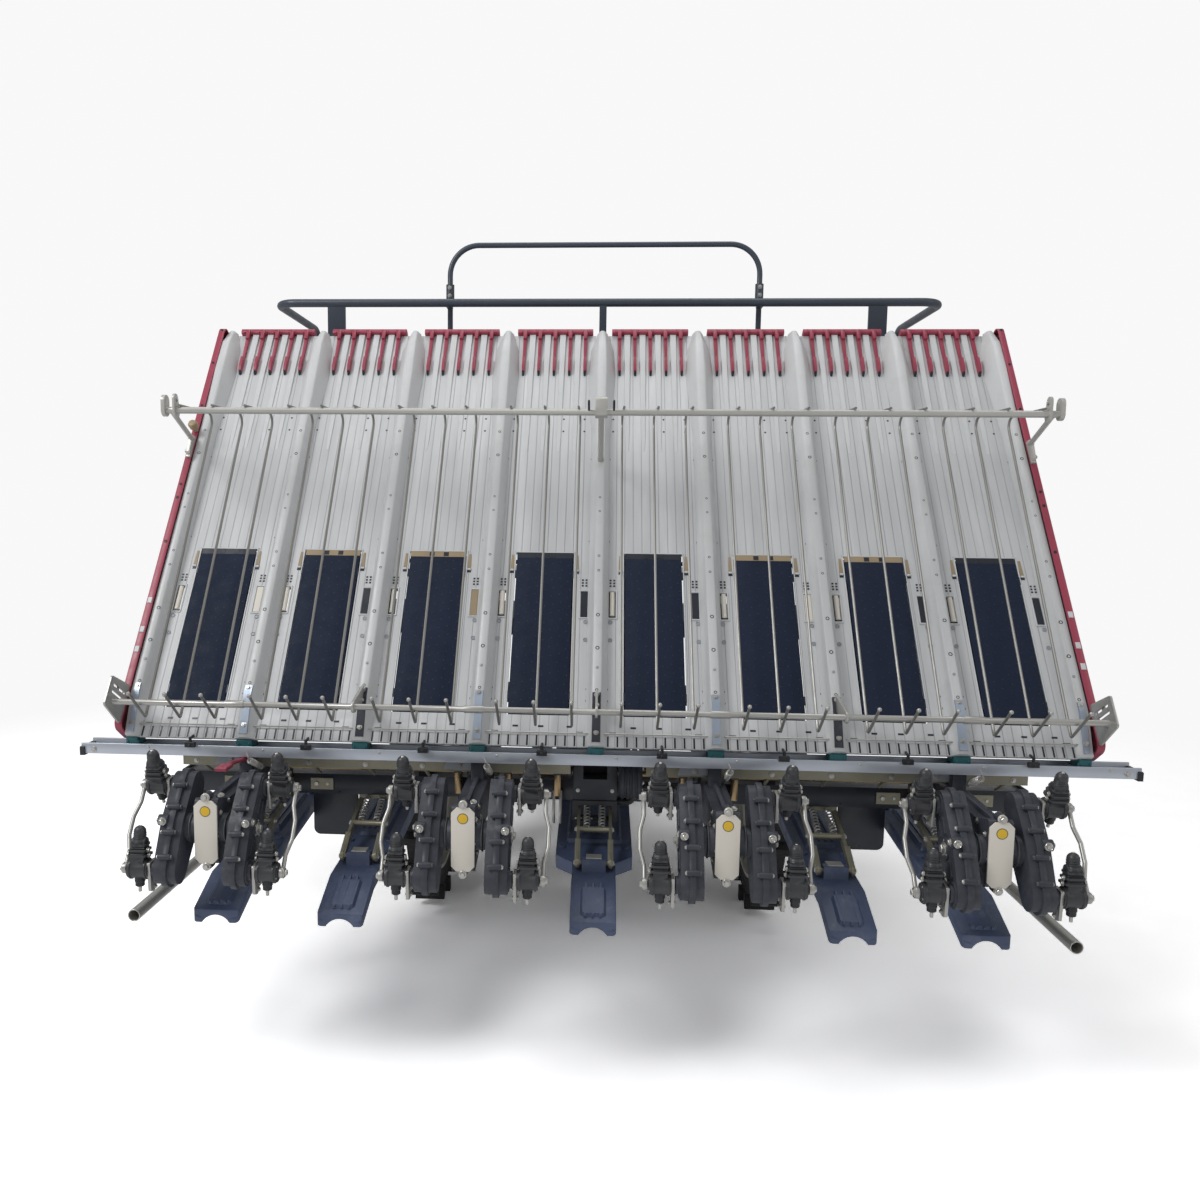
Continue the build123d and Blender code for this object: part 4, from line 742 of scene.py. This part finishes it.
def carrier_details():
    """Guards, shields, levers, hoses and fasteners between the rail and the beam."""
    drum, crimson, black, tan, bright, khaki, light = kits(
        "planter_frame", clutch_housing=CASE_GREY, feed_levers=CRIMSON, carrier_fittings=BOOT_BLACK,
        carrier_shields=KHAKI, carrier_bolts=SCREW, beam_plates=KHAKI, case_guards=CASE_LIGHT)
    (clips,) = kits("table_panel", lip_clips=BOOT_BLACK)
    for x in UNITS:
        # Half-round guard beside each case, under the rail.
        arc = [(x - 48 + 42 * cos(pi * k / 14), 710 + 33 * sin(pi * k / 14)) for k in range(15)]
        light.prism(arc, -1308, -1312, 1.0, "xz")
        bright.bolt((x - 48, -1312, 722), REAR, 5)
    crimson.tube([(-900, -1330, 730), (-900, -1420, 744), (-900, -1500, 748)], 6, 20, 8)
    crimson.box((-914, -886), (-1512, -1466), (743, 752), 2)
    for row in ROW_CENTRES:
        clips.box((row + 2, row + 28), (-1368, -1358), (765, 779), 2)
        clips.tube([(row + 15, -1362, 777), (row + 15, -1362, 790)], 4, 0, 8)
        clips.tube([(row + 15, -1362, 787), (row + 15, -1340, 790)], 3.4, 0, 8)
        clips.dome((row + 15, -1368, 771), REAR, 4)
    for x in ((-1086, -64), (130, 1086)):
        tan.box(x, (-1289, -1286), (700, 739), 1)
    for x in range(-1050, 1051, 150):
        if not -90 < x < 140:
            bright.bolt((x, -1289, 712), REAR, 4.6)
            tan.tube([(x, -1287, 716), (x, -1184, 660)], 5, 0, 8)
    for x in (-110, -92):
        bright.tube([(x, -1186, 538), (x, -1200, 565), (x, -1190, 627)], 4, 10, 8)
    black.tube([(65, -1188, 600), (93, -1188, 600), (121, -1188, 640), (150, -1188, 648)], 9, 20, 10)
    # Window frame of the hitch: its upright bolts, the lower frame and its row of screws.
    for x, z in product((-46, 46), (630, 724)):
        bright.bolt((x, -1190, z), REAR, 3.6)
    for x0, x1, z0, z1 in ((-60, 60, 590, 604), (-60, 60, 547, 561), (-60, -44, 559, 592),
                           (44, 60, 559, 592)):
        black.box((x0, x1), (-1193, -1181), (z0, z1), 1.5)
    for x in (-50, -36, -22, -8):
        bright.dome((x, -1193, 554), REAR, 3)
    # Ribbed clutch housing beside the hitch.
    profile = [(0, 30), (1, 46), (4, 50)]
    for near in (6, 20, 34, 48):
        profile += [(near, 50), (near + 1.5, 54), (near + 7, 54), (near + 8.5, 50)]
    profile += [(58, 50), (61, 46), (62, 30)]
    drum.lathe((61, -1236, 678), RIGHT, profile, 36)
    for spot in circle(123, -1236, 678, 38, 6):
        bright.bolt(spot, RIGHT, 4)
    # Clamp rings and grease caps on the drive shafts.
    for x0, x1 in ((-873, -327), (-273, -60), (60, 273), (327, 873)):
        for x in (x0 + 8, x1 - 8):
            black.lathe((x - 7, -1205, 684), RIGHT,
                        [(0, 8.6), (0, 14), (2, 16), (12, 16), (14, 14), (14, 8.6)], 18)
        for x in (x0 + 40, x1 - 40):
            black.lathe((x - 11, -1205, 684), RIGHT, [(0, 8.6), (1, 15), (21, 15), (22, 8.6)], 18)
            bright.bolt((x, -1218, 700), REAR, 4.4)
    # Bolted end plates, clips and the light strips along the beam.
    for x in (-1000, -760, -450, 450, 760, 1000):
        bright.bolt((x, -1180, 628), REAR, 7)
        bright.bolt((x + 30, -1180, 628), REAR, 5)
        khaki.box((x - 16, x + 46), (-1183, -1179), (612, 644), 1)
    for side in (-1, 1):
        black.box(span(side * 1130, 4), (-1186, -1104), (594, 661), 3)
        bright.bolt((side * 1134, -1145, 628), (side, 0, 0), 8)
        x = side * 1322
        black.box(span(x, 6), (-1360, -1288), (736, 759.6), 2)
        bright.bolt((x - side * 30, -1356, 752), REAR, 5)
    # Oil hoses along the beam to the middle of the carrier.
    for side, bend, x, top in ((1, 760, 70, 830), (-1, 740, 74, 800)):
        black.tube([(side * 300, -1150, 700), (side * 240, -1120, 672), (side * 130, -1095, 668),
                    (side * 90, -1075, bend), (side * x, -1045, top)], 7, 40, 10)


def rail_details():
    """Bolts of the slide rail."""
    (bolts,) = kits("slide_rail", rail_bolts=SCREW)
    for x in DIVIDERS:
        bolts.dome((x + 52, -1356, 760), REAR, 3.6)


def float_details():
    """Springs, pins, ribs and rivets of every float."""
    springs, bolts = kits("float_brackets", float_springs=STEEL, float_pins=SCREW)
    for name, x in (("center", 0), ("inner_left", -600), ("inner_right", 600), ("outer_left", -900),
                    ("outer_right", 900)):
        half = 68 if x else 100
        for edge in (-1, 1):
            for y, z in ((-1366, 492), (-1256, 544)):
                bolts.bolt((x + edge * 46, y, z), (edge, 0, 0), 6)
            springs.spring((x + edge * 20, -1256, 548), (x + edge * 20, -1176, 590), 8, 2, 8)
        (ribs,) = kits("float_" + name, **{f"float_{name}_ribs": FLOAT})
        for k in (-2, -1, 0, 1, 2):
            ribs.bar(x + k * (half - 34) / 2, [(y, 3, z - 2, z + 4) for y, z in
                                               ((-1180, 505.5), (-1070, 516.6), (-960, 528))], 1)
        for (y, z), edge in product(((-1240, 490), (-920, 526)), (-1, 1)):
            ribs.lathe((x + edge * (half - 16), y, z), UP,
                       [(-2, 9), (3, 9), (4.5, 7), (4.5, 4), (1, 3)], 14)
        for k in (-1, 0, 1):
            ribs.bar(x + 18 * k, [(y, 3, z - 2, z + 3.4) for y, z in ((-1550, 429.5), (-1452, 470.5))], 1)
        springs.box(span(x, 20), (-1372, -1340), (503, 507), 1)


def hoop_details():
    """Clamps at the hoop, caps and feet of the rails."""
    (black,) = kits("rear_hoop", rail_clamps=RAIL_PAINT)
    (bolts,) = kits("guard_rail", rail_foot_bolts=SCREW)
    for x in (-HOOP_X, HOOP_X):
        black.lathe((x, -286, 2096), UP, [(0, 9.2), (1, 14), (50, 14), (51, 9.2)], 18)
        black.lathe((x, -286, 1010), UP, [(-1, 22), (6, 22), (9, 14), (30, 12)], 20)
        for z in (2108, 2134):
            bolts.bolt((x, -301, z), REAR, 4.6)
    for x in (-910, 0, 910):
        half = 42 if x else 20
        black.box(span(x, half), (-352, -320), (1008, 1016), 2)
        for edge in (-1, 1):
            bolts.bolt((x + edge * (half - 9), -336, 1016), UP, 6)
    for side in (-1, 1):
        black.lathe((side * 1122, 200, 984), UP, [(-1, 15), (2, 18), (62, 18), (66, 14)], 20)
        black.box(span(side * 1101, 39), (174, 226), (1009, 1015), 2)
        for y in (184, 216):
            bolts.bolt((side * 1080, y, 1015), UP, 6)


# ---------------------------------------------------------------- vehicle pieces
def wheel_details():
    """Wheel bolts, hub caps, tread bars on the lugs and a ribbed sidewall."""
    hub_half = 34
    for end, middle, axle, hub, ribs, wall, tip, lugs, wide, deep in (
            ("rear", 570, JOINT["rear_spin_left"], 42, (424, 402), 34, 474.5, 20, 46, 9),
            ("front", 600, JOINT["front_spin_left"], 36, (280, 266), 28, 324.5, 18, 36, 8)):
        y, z = axle.y * 1000, axle.z * 1000
        for side, hand in ((-1, "left"), (1, "right")):
            bolts, cap = kits(f"{end}_rim_{hand}",
                              **{f"{end}_wheel_bolts_{hand}": SCREW, f"{end}_hub_cap_{hand}": CAST})
            (tread,) = kits(f"{end}_tyre_{hand}", **{f"{end}_tread_{hand}": TYRE})
            x = side * middle
            for spot in circle(x + side * hub_half, y, z, hub, 5):
                bolts.bolt(spot, (side, 0, 0), 7)
            cap.lathe((x + side * (hub_half + 1), y, z), (side, 0, 0),
                      [(-2, 24), (8, 24), (14, 19), (16, 9), (16, 1)], 24)
            for shell, radius in product((-1, 1), ribs):
                ring = circle(x + shell * wall, y, z, radius, 64)
                tread.tube(ring + ring[:1], 2.2, 0, 6, ends=False)
            for k in range(lugs):
                a = 2 * pi * k / lugs - pi / 2
                out, along = Vector((0, cos(a), sin(a))), Vector((0, -sin(a), cos(a)))
                centre = Vector((x, y, z)) + out * tip
                for low, high in ((-wide, -6), (6, wide)):
                    tread.rings([[centre + out * lift + Vector((edge, 0, 0)) + along * (way * (deep - trim))
                                  for edge, way in ((low + trim, -1), (high - trim, -1),
                                                    (high - trim, 1), (low + trim, 1))]
                                 for lift, trim in ((-3, 0), (0.2, 1.4))])


def nose(radius, heights):
    """Points (y, z) on the arc of the bonnet's nose."""
    return [(NOSE_Y + sqrt(radius ** 2 - (z - NOSE_Z) ** 2), z) for z in heights]


def bonnet_details():
    """Grille, headlamps, side louvres and latches of the hood."""
    screen, rims, lens, louvres, latch = kits(
        "bonnet", grille_screen=NAVY_BLACK, headlamp_rims=NAVY_BLACK, headlamp_lenses=LENS,
        hood_louvres=NAVY_BLACK, hood_latches=CAST)
    heights = (690, 720, 762, 810, 852)
    screen.prism(nose(287, heights) + nose(279, heights[::-1]), -116, 116, 1, "yz")
    for x in range(-108, 109, 12):
        screen.tube([(x, *place) for place in nose(288, heights)], 1.6, 0, 6)
    way = Vector((0, 0.885, 0.466)).normalized()
    for side in (-1, 1):
        place = Vector((side * 165, 1594.4, 900))
        rims.lathe(place, way, [(-26, 46), (12, 46), (15, 44), (15, 39), (4, 38)], 28)
        lens.lathe(place, way, [(2, 39), (9, 38.5), (13, 30), (15, 16), (15.4, 3)], 28)
        bars = [(louvres, 1120, 1330, 760 + 34 * k, 12, 253, 2.5) for k in range(6)]
        bars += [(louvres, 1030, 1580, 656, 10, 254, 2), (latch, 1050, 1082, 690, 40, 258, 4)]
        for kit, y0, y1, z, tall, face, edge in bars:
            kit.prism([(y0, z), (y1, z), (y1, z + tall), (y0, z + tall)], side * 249, side * face,
                      edge, "yz")


def deck_details():
    """Raised treads on the deck, the floor and the steps, and the deck's bolts."""
    tread, bolts = kits("rear_deck", deck_tread=DECK, deck_bolts=SCREW)
    (floor,) = kits("floor_deck", floor_tread=DECK)
    corners = ((-1, -1), (1, -1), (1, 1), (-1, 1))
    for side, x, y in product((-1, 1), range(380, 1101, 24), range(-372, 281, 48)):
        if abs(x - HOOP_X) < 60 and -330 < y < -240:
            continue
        skew = 9 if (x // 24 + y // 48) % 2 else -9
        tread.rings([[(side * x + a * half, y + a * skew + b * deep, z) for a, b in corners]
                     for half, deep, z in ((10, 3, 1009), (9, 1.4, 1012))])
    for x, y in product(range(-264, 265, 24), range(-372, -90, 48)):
        if abs(x) > 30 or y < -350:
            tread.box(span(x, 8), span(y, 2), (1009, 1012), 1)
    for side in (-1, 1):
        for xs, ys, half in ((range(350, 541, 22), range(190, 481, 34), 8),
                             (range(216, 290, 18), range(520, 990, 34), 6)):
            for x, y in product(xs, ys):
                floor.box(span(side * x, half), span(y, 2), (635, 638.5), 1)
        for x in range(482, 592, 16):
            floor.box(span(side * x, 3), (268, 412), (393, 397), 1.2)
        for x, y in product((1116, 350), (-350, -200, 60, 250)):
            bolts.bolt((side * x, y, 1009.5), UP, 6)


def console_details():
    """Dials with plain faces, lamps, two levers and the pedals."""
    black, face, lens, levers, knobs = kits(
        "steering_console", console_fittings=BOOT_BLACK, dial_faces=CREAM, console_lamps=LENS,
        console_levers=SCREW, lever_knobs=BOOT_BLACK)
    for x, size in ((-62, 30), (0, 36), (62, 30)):
        place = (x, 905, 1066)
        black.lathe(place, UP, [(-1, size), (9, size), (11, size - 2), (9, size - 5), (3, size - 5)], 32)
        face.lathe(place, UP, [(2, size - 4.6), (4, size - 4.8), (4.4, 2)], 32)
        levers.box(span(x, 1.2), (905, 905 + size * 0.6), (1069, 1072), 0.4)
    for k in range(5):
        lens.dome((-88 + 44 * k, 862, 1067), UP, 5, 4)
    for side, height in ((-1, 190), (1, 150)):
        x = side * 150
        black.box(span(x, 14), (800, 940), (1072, 1080), 3)
        top = (x + side * 18, 820, 1078 + height)
        levers.tube([(x, 870, 1070), (x, 862, 1110), top], 6, 20, 10)
        knobs.lathe(top, (side * 0.1, -0.25, 1),
                    [(-8, 9), (0, 15), (18, 21), (34, 20), (44, 12), (46, 3)], 18)
    # Pedals with their pads at the console's foot.
    for x in (-120, 96, 150):
        levers.tube([(x, 620, 640), (x, 575, 700), (x, 540, 716)], 6, 14, 8)
        black.rings([[(x - half, y0, z0), (x + half, y0, z0), (x + half, y1, z1), (x - half, y1, z1)]
                     for half, y0, z0, y1, z1 in ((30, 520, 700, 556, 738), (28, 516, 708, 550, 744))])


def steering_details():
    """Hub cap and grip ribs of the steering wheel."""
    tilt = radians(32)
    axis = Vector((0, -sin(tilt), cos(tilt)))
    hub = Vector((0, 640, 1120))
    place = frame_at(hub / 1000, RIGHT, axis.cross(Vector(RIGHT)), axis)
    grip, cap = kits("steering_wheel", place, wheel_grip=BOOT_BLACK, wheel_hub_cap=BOOT_BLACK)
    cap.lathe((0, 0, 8), UP, [(-1, 36), (4, 36), (10, 28), (12, 10), (12, 1)], 28)
    angles = [2 * pi * m / 10 + 0.2 for m in range(6)]
    for k in range(40):
        out = Vector((cos(2 * pi * k / 40), sin(2 * pi * k / 40), 0))
        grip.tube([out * (180 + 12.6 * cos(b)) + Vector((0, 0, 12.6 * sin(b))) for b in angles], 1.4, 0, 5)


def chassis_details():
    """Frame bolts, pipes under the floor, exhaust and the axles' fasteners."""
    bolts, pipes, castings = kits("chassis_frame", frame_bolts=SCREW, brake_pipes=NAVY_BLACK,
                                  exhaust=CAST)
    for side in (-1, 1):
        for y, z in product((-160, 300, 834, 1240, 1560), (552, 588)):
            bolts.bolt((side * 215, y, z), (side, 0, 0), 8)
        pipes.tube([(side * 150, -380, 660), (side * 150, 0, 660), (side * 158, 500, 640)], 7, 30, 8)
        for x, y, z, radius in ((486, -316, 475, 56), (120, -316, 475, 70), (84, 834, 325, 62)):
            for spot in circle(side * x, y, z, radius, 8):
                bolts.bolt(spot, (side, 0, 0), 6)
    castings.lathe((160, 1300, 620), (0, 1, 0), [(-120, 20), (-110, 42), (110, 42), (120, 20)], 24)
    castings.tube([(160, 1180, 620), (228, 1120, 620), (232, 900, 560)], 18, 40, 12)
    for x in (-120, -40, 40, 120):
        castings.box(span(x, 6), (1034, 1044), (650, 930), 2)


def rack_details():
    """Grip rails and screws of the spare racks."""
    for side, hand in ((-1, "left"), (1, "right")):
        rails, screws = kits(f"spare_rack_{hand}",
                             **{f"rack_rails_{hand}": STEEL, f"rack_screws_{hand}": SCREW})
        for z in (820, 1065, 1310):
            for low, high in ((950, 1185), (1275, 1510)):
                rails.tube([(side * 640, low, z + 34), (side * 644, low, z + 62),
                            (side * 644, high, z + 62), (side * 640, high, z + 34)], 4, 14, 8)
                for y in (low, high):
                    rails.tube([(side * 640, y, z + 36), (side * 632, y, z + 20)], 4, 0, 8)
            for y in (1222, 1238):
                screws.bolt((side * 330, y, z - 14), (-side, 0, 0), 5)


# ---------------------------------------------------------------- seat
def baked(piece):
    """Gives the piece's mesh the form that its modifiers make, and drops them."""
    mesh = bpy.data.meshes.new_from_object(piece.evaluated_get(bpy.context.evaluated_depsgraph_get()))
    piece.modifiers.clear()
    piece.data = mesh
    return mesh


def blown_up(piece, cap):
    """Remeshes the piece and lets cloth pressure swell it by at most cap."""
    scene = bpy.context.scene
    configure(piece.modifiers.new("remesh", "REMESH"), mode="VOXEL", voxel_size=0.005)
    before = after = np.array([v.co for v in baked(piece).vertices])
    cloth = piece.modifiers.new("foam", "CLOTH")
    configure(cloth.settings, use_pressure=True, uniform_pressure_force=4.0, quality=5)
    cloth.settings.effector_weights.gravity = 0.0
    cloth.collision_settings.use_collision = False
    for number in range(1, 21):
        scene.frame_set(number)
    swollen = piece.evaluated_get(bpy.context.evaluated_depsgraph_get()).to_mesh()
    moved = np.array([v.co for v in swollen.vertices]) - before
    length = np.linalg.norm(moved, axis=1, keepdims=True)
    after = before + moved * np.minimum(1.0, cap / np.maximum(length, 1e-9))
    piece.modifiers.clear()
    scene.frame_set(1)
    for vertex, place in zip(piece.data.vertices, after):
        vertex.co = place
    piece.data.update()


def sewn(piece, channels, depth, width):
    """Presses sewn channels into the piece: each is (point, direction across the seam, facing)."""
    normals = [v.normal.copy() for v in piece.data.vertices]
    for vertex, normal in zip(piece.data.vertices, normals):
        for point, across, facing in channels:
            off = (vertex.co - point).dot(across)
            share = max(0.0, normal.dot(facing))
            vertex.co -= facing * depth * share * np.exp(-(off / width) ** 2)
    piece.data.update()


def make_seat():
    """Cushion and backrest: crowned foam with sewn channels and a piped edge."""
    low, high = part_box("seat")
    base, top = low.z * 1000, 1110
    kit = Kit("seat_cushions", "seat", SEAT_COVER)
    cushion = [(-76, base + 2), (362, base + 2), (364, top - 22), (334, top - 9), (-72, top - 9)]
    back = [(-154, 1052), (-98, 1052), (-84, top + 8), (-148, 1470), (-196, 1470)]
    for outline, half in ((cushion, 222), (back, 212)):
        middle = Vector([sum(p[i] for p in outline) / len(outline) for i in (0, 1)])
        rings = []
        for x, scale in ((-half, 0.86), (-half + 14, 0.96), (-half + 40, 1), (-100, 1), (0, 1), (100, 1),
                         (half - 40, 1), (half - 14, 0.96), (half, 0.86)):
            rings.append([(x, *(middle + (Vector(p) - middle) * scale)) for p in outline])
        kit.rings(rings)
    piece = kit.finish()
    piece.parent = None
    piece.matrix_world = Matrix.Identity(4)
    blown_up(piece, 0.006)
    back_face = Vector((0, 0.985, 0.17))
    channels = [(Vector((0, y, 1.1)), Vector((0, 1, 0)), Vector(UP)) for y in (0.02, 0.11, 0.20, 0.29)]
    channels += [(Vector((0, -0.1, z)), Vector(UP), back_face) for z in (1.18, 1.27, 1.36, 1.43)]
    sewn(piece, channels, 0.006, 0.008)
    configure(piece.modifiers.new("smooth", "SMOOTH"), factor=0.5, iterations=3)
    final = baked(piece)
    final.materials.clear()
    final.materials.append(SEAT_COVER)
    smooth(final)
    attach(piece, NODES["seat"]["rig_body"])
    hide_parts("seat")
    (piping,) = kits("seat", seat_piping=BOOT_BLACK)
    for x in (-218, 218):
        piping.tube([(x, -70, top - 18), (x, 330, top - 18), (x, 358, top - 32), (x, 360, base + 20)],
                    3, 16, 8)
        piping.tube([(x * 0.95, -100, 1080), (x * 0.95, -88, 1110), (x * 0.95, -150, 1462)], 3, 12, 8)


for build in (table_ribs, divider_screws, panel_windows, belt_details, lip_details, cap_details,
              rod_details, cover_details, rotary_details, carrier_details, rail_details, float_details,
              hoop_details, wheel_details, bonnet_details, deck_details, console_details,
              steering_details, chassis_details, rack_details, make_seat):
    build()
arm_details("upper", -22, 60)
arm_details("lower", 4, 60)
for kit in KITS:
    kit.finish()


# ---------------------------------------------------------------- stage
FAR_WHITE = 0.94  # what the camera sees of the world and of the far floor


def make_camera():
    """Behind the machine, a little left of straight ahead and looking slightly down."""
    yaw, pitch, roll = -0.0580567, 0.1122285, 0.0105074
    picture, focal, middle = 1200, 1001.95, (539.6, 627.4)  # in pixels of the photograph
    ahead = Vector((sin(yaw) * cos(pitch), cos(yaw) * cos(pitch), -sin(pitch)))
    level = Vector((cos(yaw), -sin(yaw), 0))
    above = level.cross(ahead)
    right = level * cos(roll) + above * sin(roll)
    up = above * cos(roll) - level * sin(roll)
    camera = new_object("camera", bpy.data.cameras.new("camera"))
    turn = Matrix((right, up, -ahead)).transposed()
    camera.matrix_world = Matrix.Translation((-0.0008, -3.8177, 1.3651)) @ turn.to_4x4()
    configure(camera.data, sensor_width=36, lens=36 * focal / picture, clip_end=200,
              shift_x=(picture / 2 - middle[0]) / picture, shift_y=(middle[1] - picture / 2) / picture)
    bpy.context.scene.camera = camera


def area_light(name, place, aim, size, watts):
    """White panel of light at a place, turned towards its aim."""
    light = configure(bpy.data.lights.new(name, "AREA"), shape="RECTANGLE", energy=watts,
                      size=size[0], size_y=size[1])
    turn = (Vector(aim) - Vector(place)).to_track_quat("-Z", "Y")
    configure(new_object(name, light), location=place, rotation_euler=turn.to_euler())


def make_floor():
    """Pale floor that takes soft shadows near the machine and shows as plain white far off."""
    reach = 40.0
    mesh = bpy.data.meshes.new("floor")
    mesh.from_pydata([(-reach, -reach, 0), (reach, -reach, 0), (reach, reach, 0), (-reach, reach, 0)],
                     [], [(0, 1, 2, 3)])
    floor = new_object("floor", mesh)
    s = Shader("floor")
    paint = s.ramp(s.noise(6.0, 6.0, 0.6), [(0.3, linear(243, 243, 244)), (0.7, linear(248, 248, 249))])
    camera = s.new("ShaderNodeLightPath").outputs["Is Camera Ray"]
    brighter = s.new("ShaderNodeVectorMath", {0: paint, "Scale": s.fade(camera, 0.0, 1.0, 1.0, 2.0)},
                     operation="SCALE")
    s.feed(s.principled, {"Base Color": brighter.outputs["Vector"], "Roughness": 0.75})
    distance = s.new("ShaderNodeVectorMath", {0: s.place}, operation="LENGTH").outputs["Value"]
    seen = s.math("MULTIPLY", camera, s.fade(distance, 2.6, 4.6, 0.0, 1.0))
    glow = s.new("ShaderNodeEmission", {"Strength": FAR_WHITE})
    blend = s.new("ShaderNodeMixShader", {"Fac": seen, 1: s.principled.outputs["BSDF"],
                                          2: glow.outputs["Emission"]})
    s.feed(s.tree.nodes["Material Output"], {"Surface": blend.outputs["Shader"]})
    mesh.materials.append(s.material)


def make_world():
    """White studio that lights at one strength and is seen by the camera at another."""
    world = bpy.data.worlds.new("studio")
    bpy.context.scene.world = world
    world.use_nodes = True
    nodes = world.node_tree.nodes
    lit, seen = nodes["Background"], nodes.new("ShaderNodeBackground")
    for node, strength in ((lit, 0.40), (seen, FAR_WHITE)):
        node.inputs["Color"].default_value = (1, 1, 1, 1)
        node.inputs["Strength"].default_value = strength
    path, blend = nodes.new("ShaderNodeLightPath"), nodes.new("ShaderNodeMixShader")
    for source, target in ((path.outputs["Is Camera Ray"], blend.inputs["Fac"]),
                           (lit.outputs["Background"], blend.inputs[1]),
                           (seen.outputs["Background"], blend.inputs[2]),
                           (blend.outputs["Shader"], nodes["World Output"].inputs["Surface"])):
        world.node_tree.links.new(source, target)


make_camera()
make_floor()
make_world()
area_light("key", (-3.9, -3.8, 4.9), (0, -0.8, 0.9), (2.2, 2.2), 168)
area_light("fill", (4.4, -3.2, 3.2), (0, -0.8, 0.8), (3.0, 3.0), 26)
area_light("top", (0, -0.2, 6.0), (0, -0.2, 0.8), (4.0, 3.0), 78)

bpy.context.scene.view_settings.view_transform = "Standard"
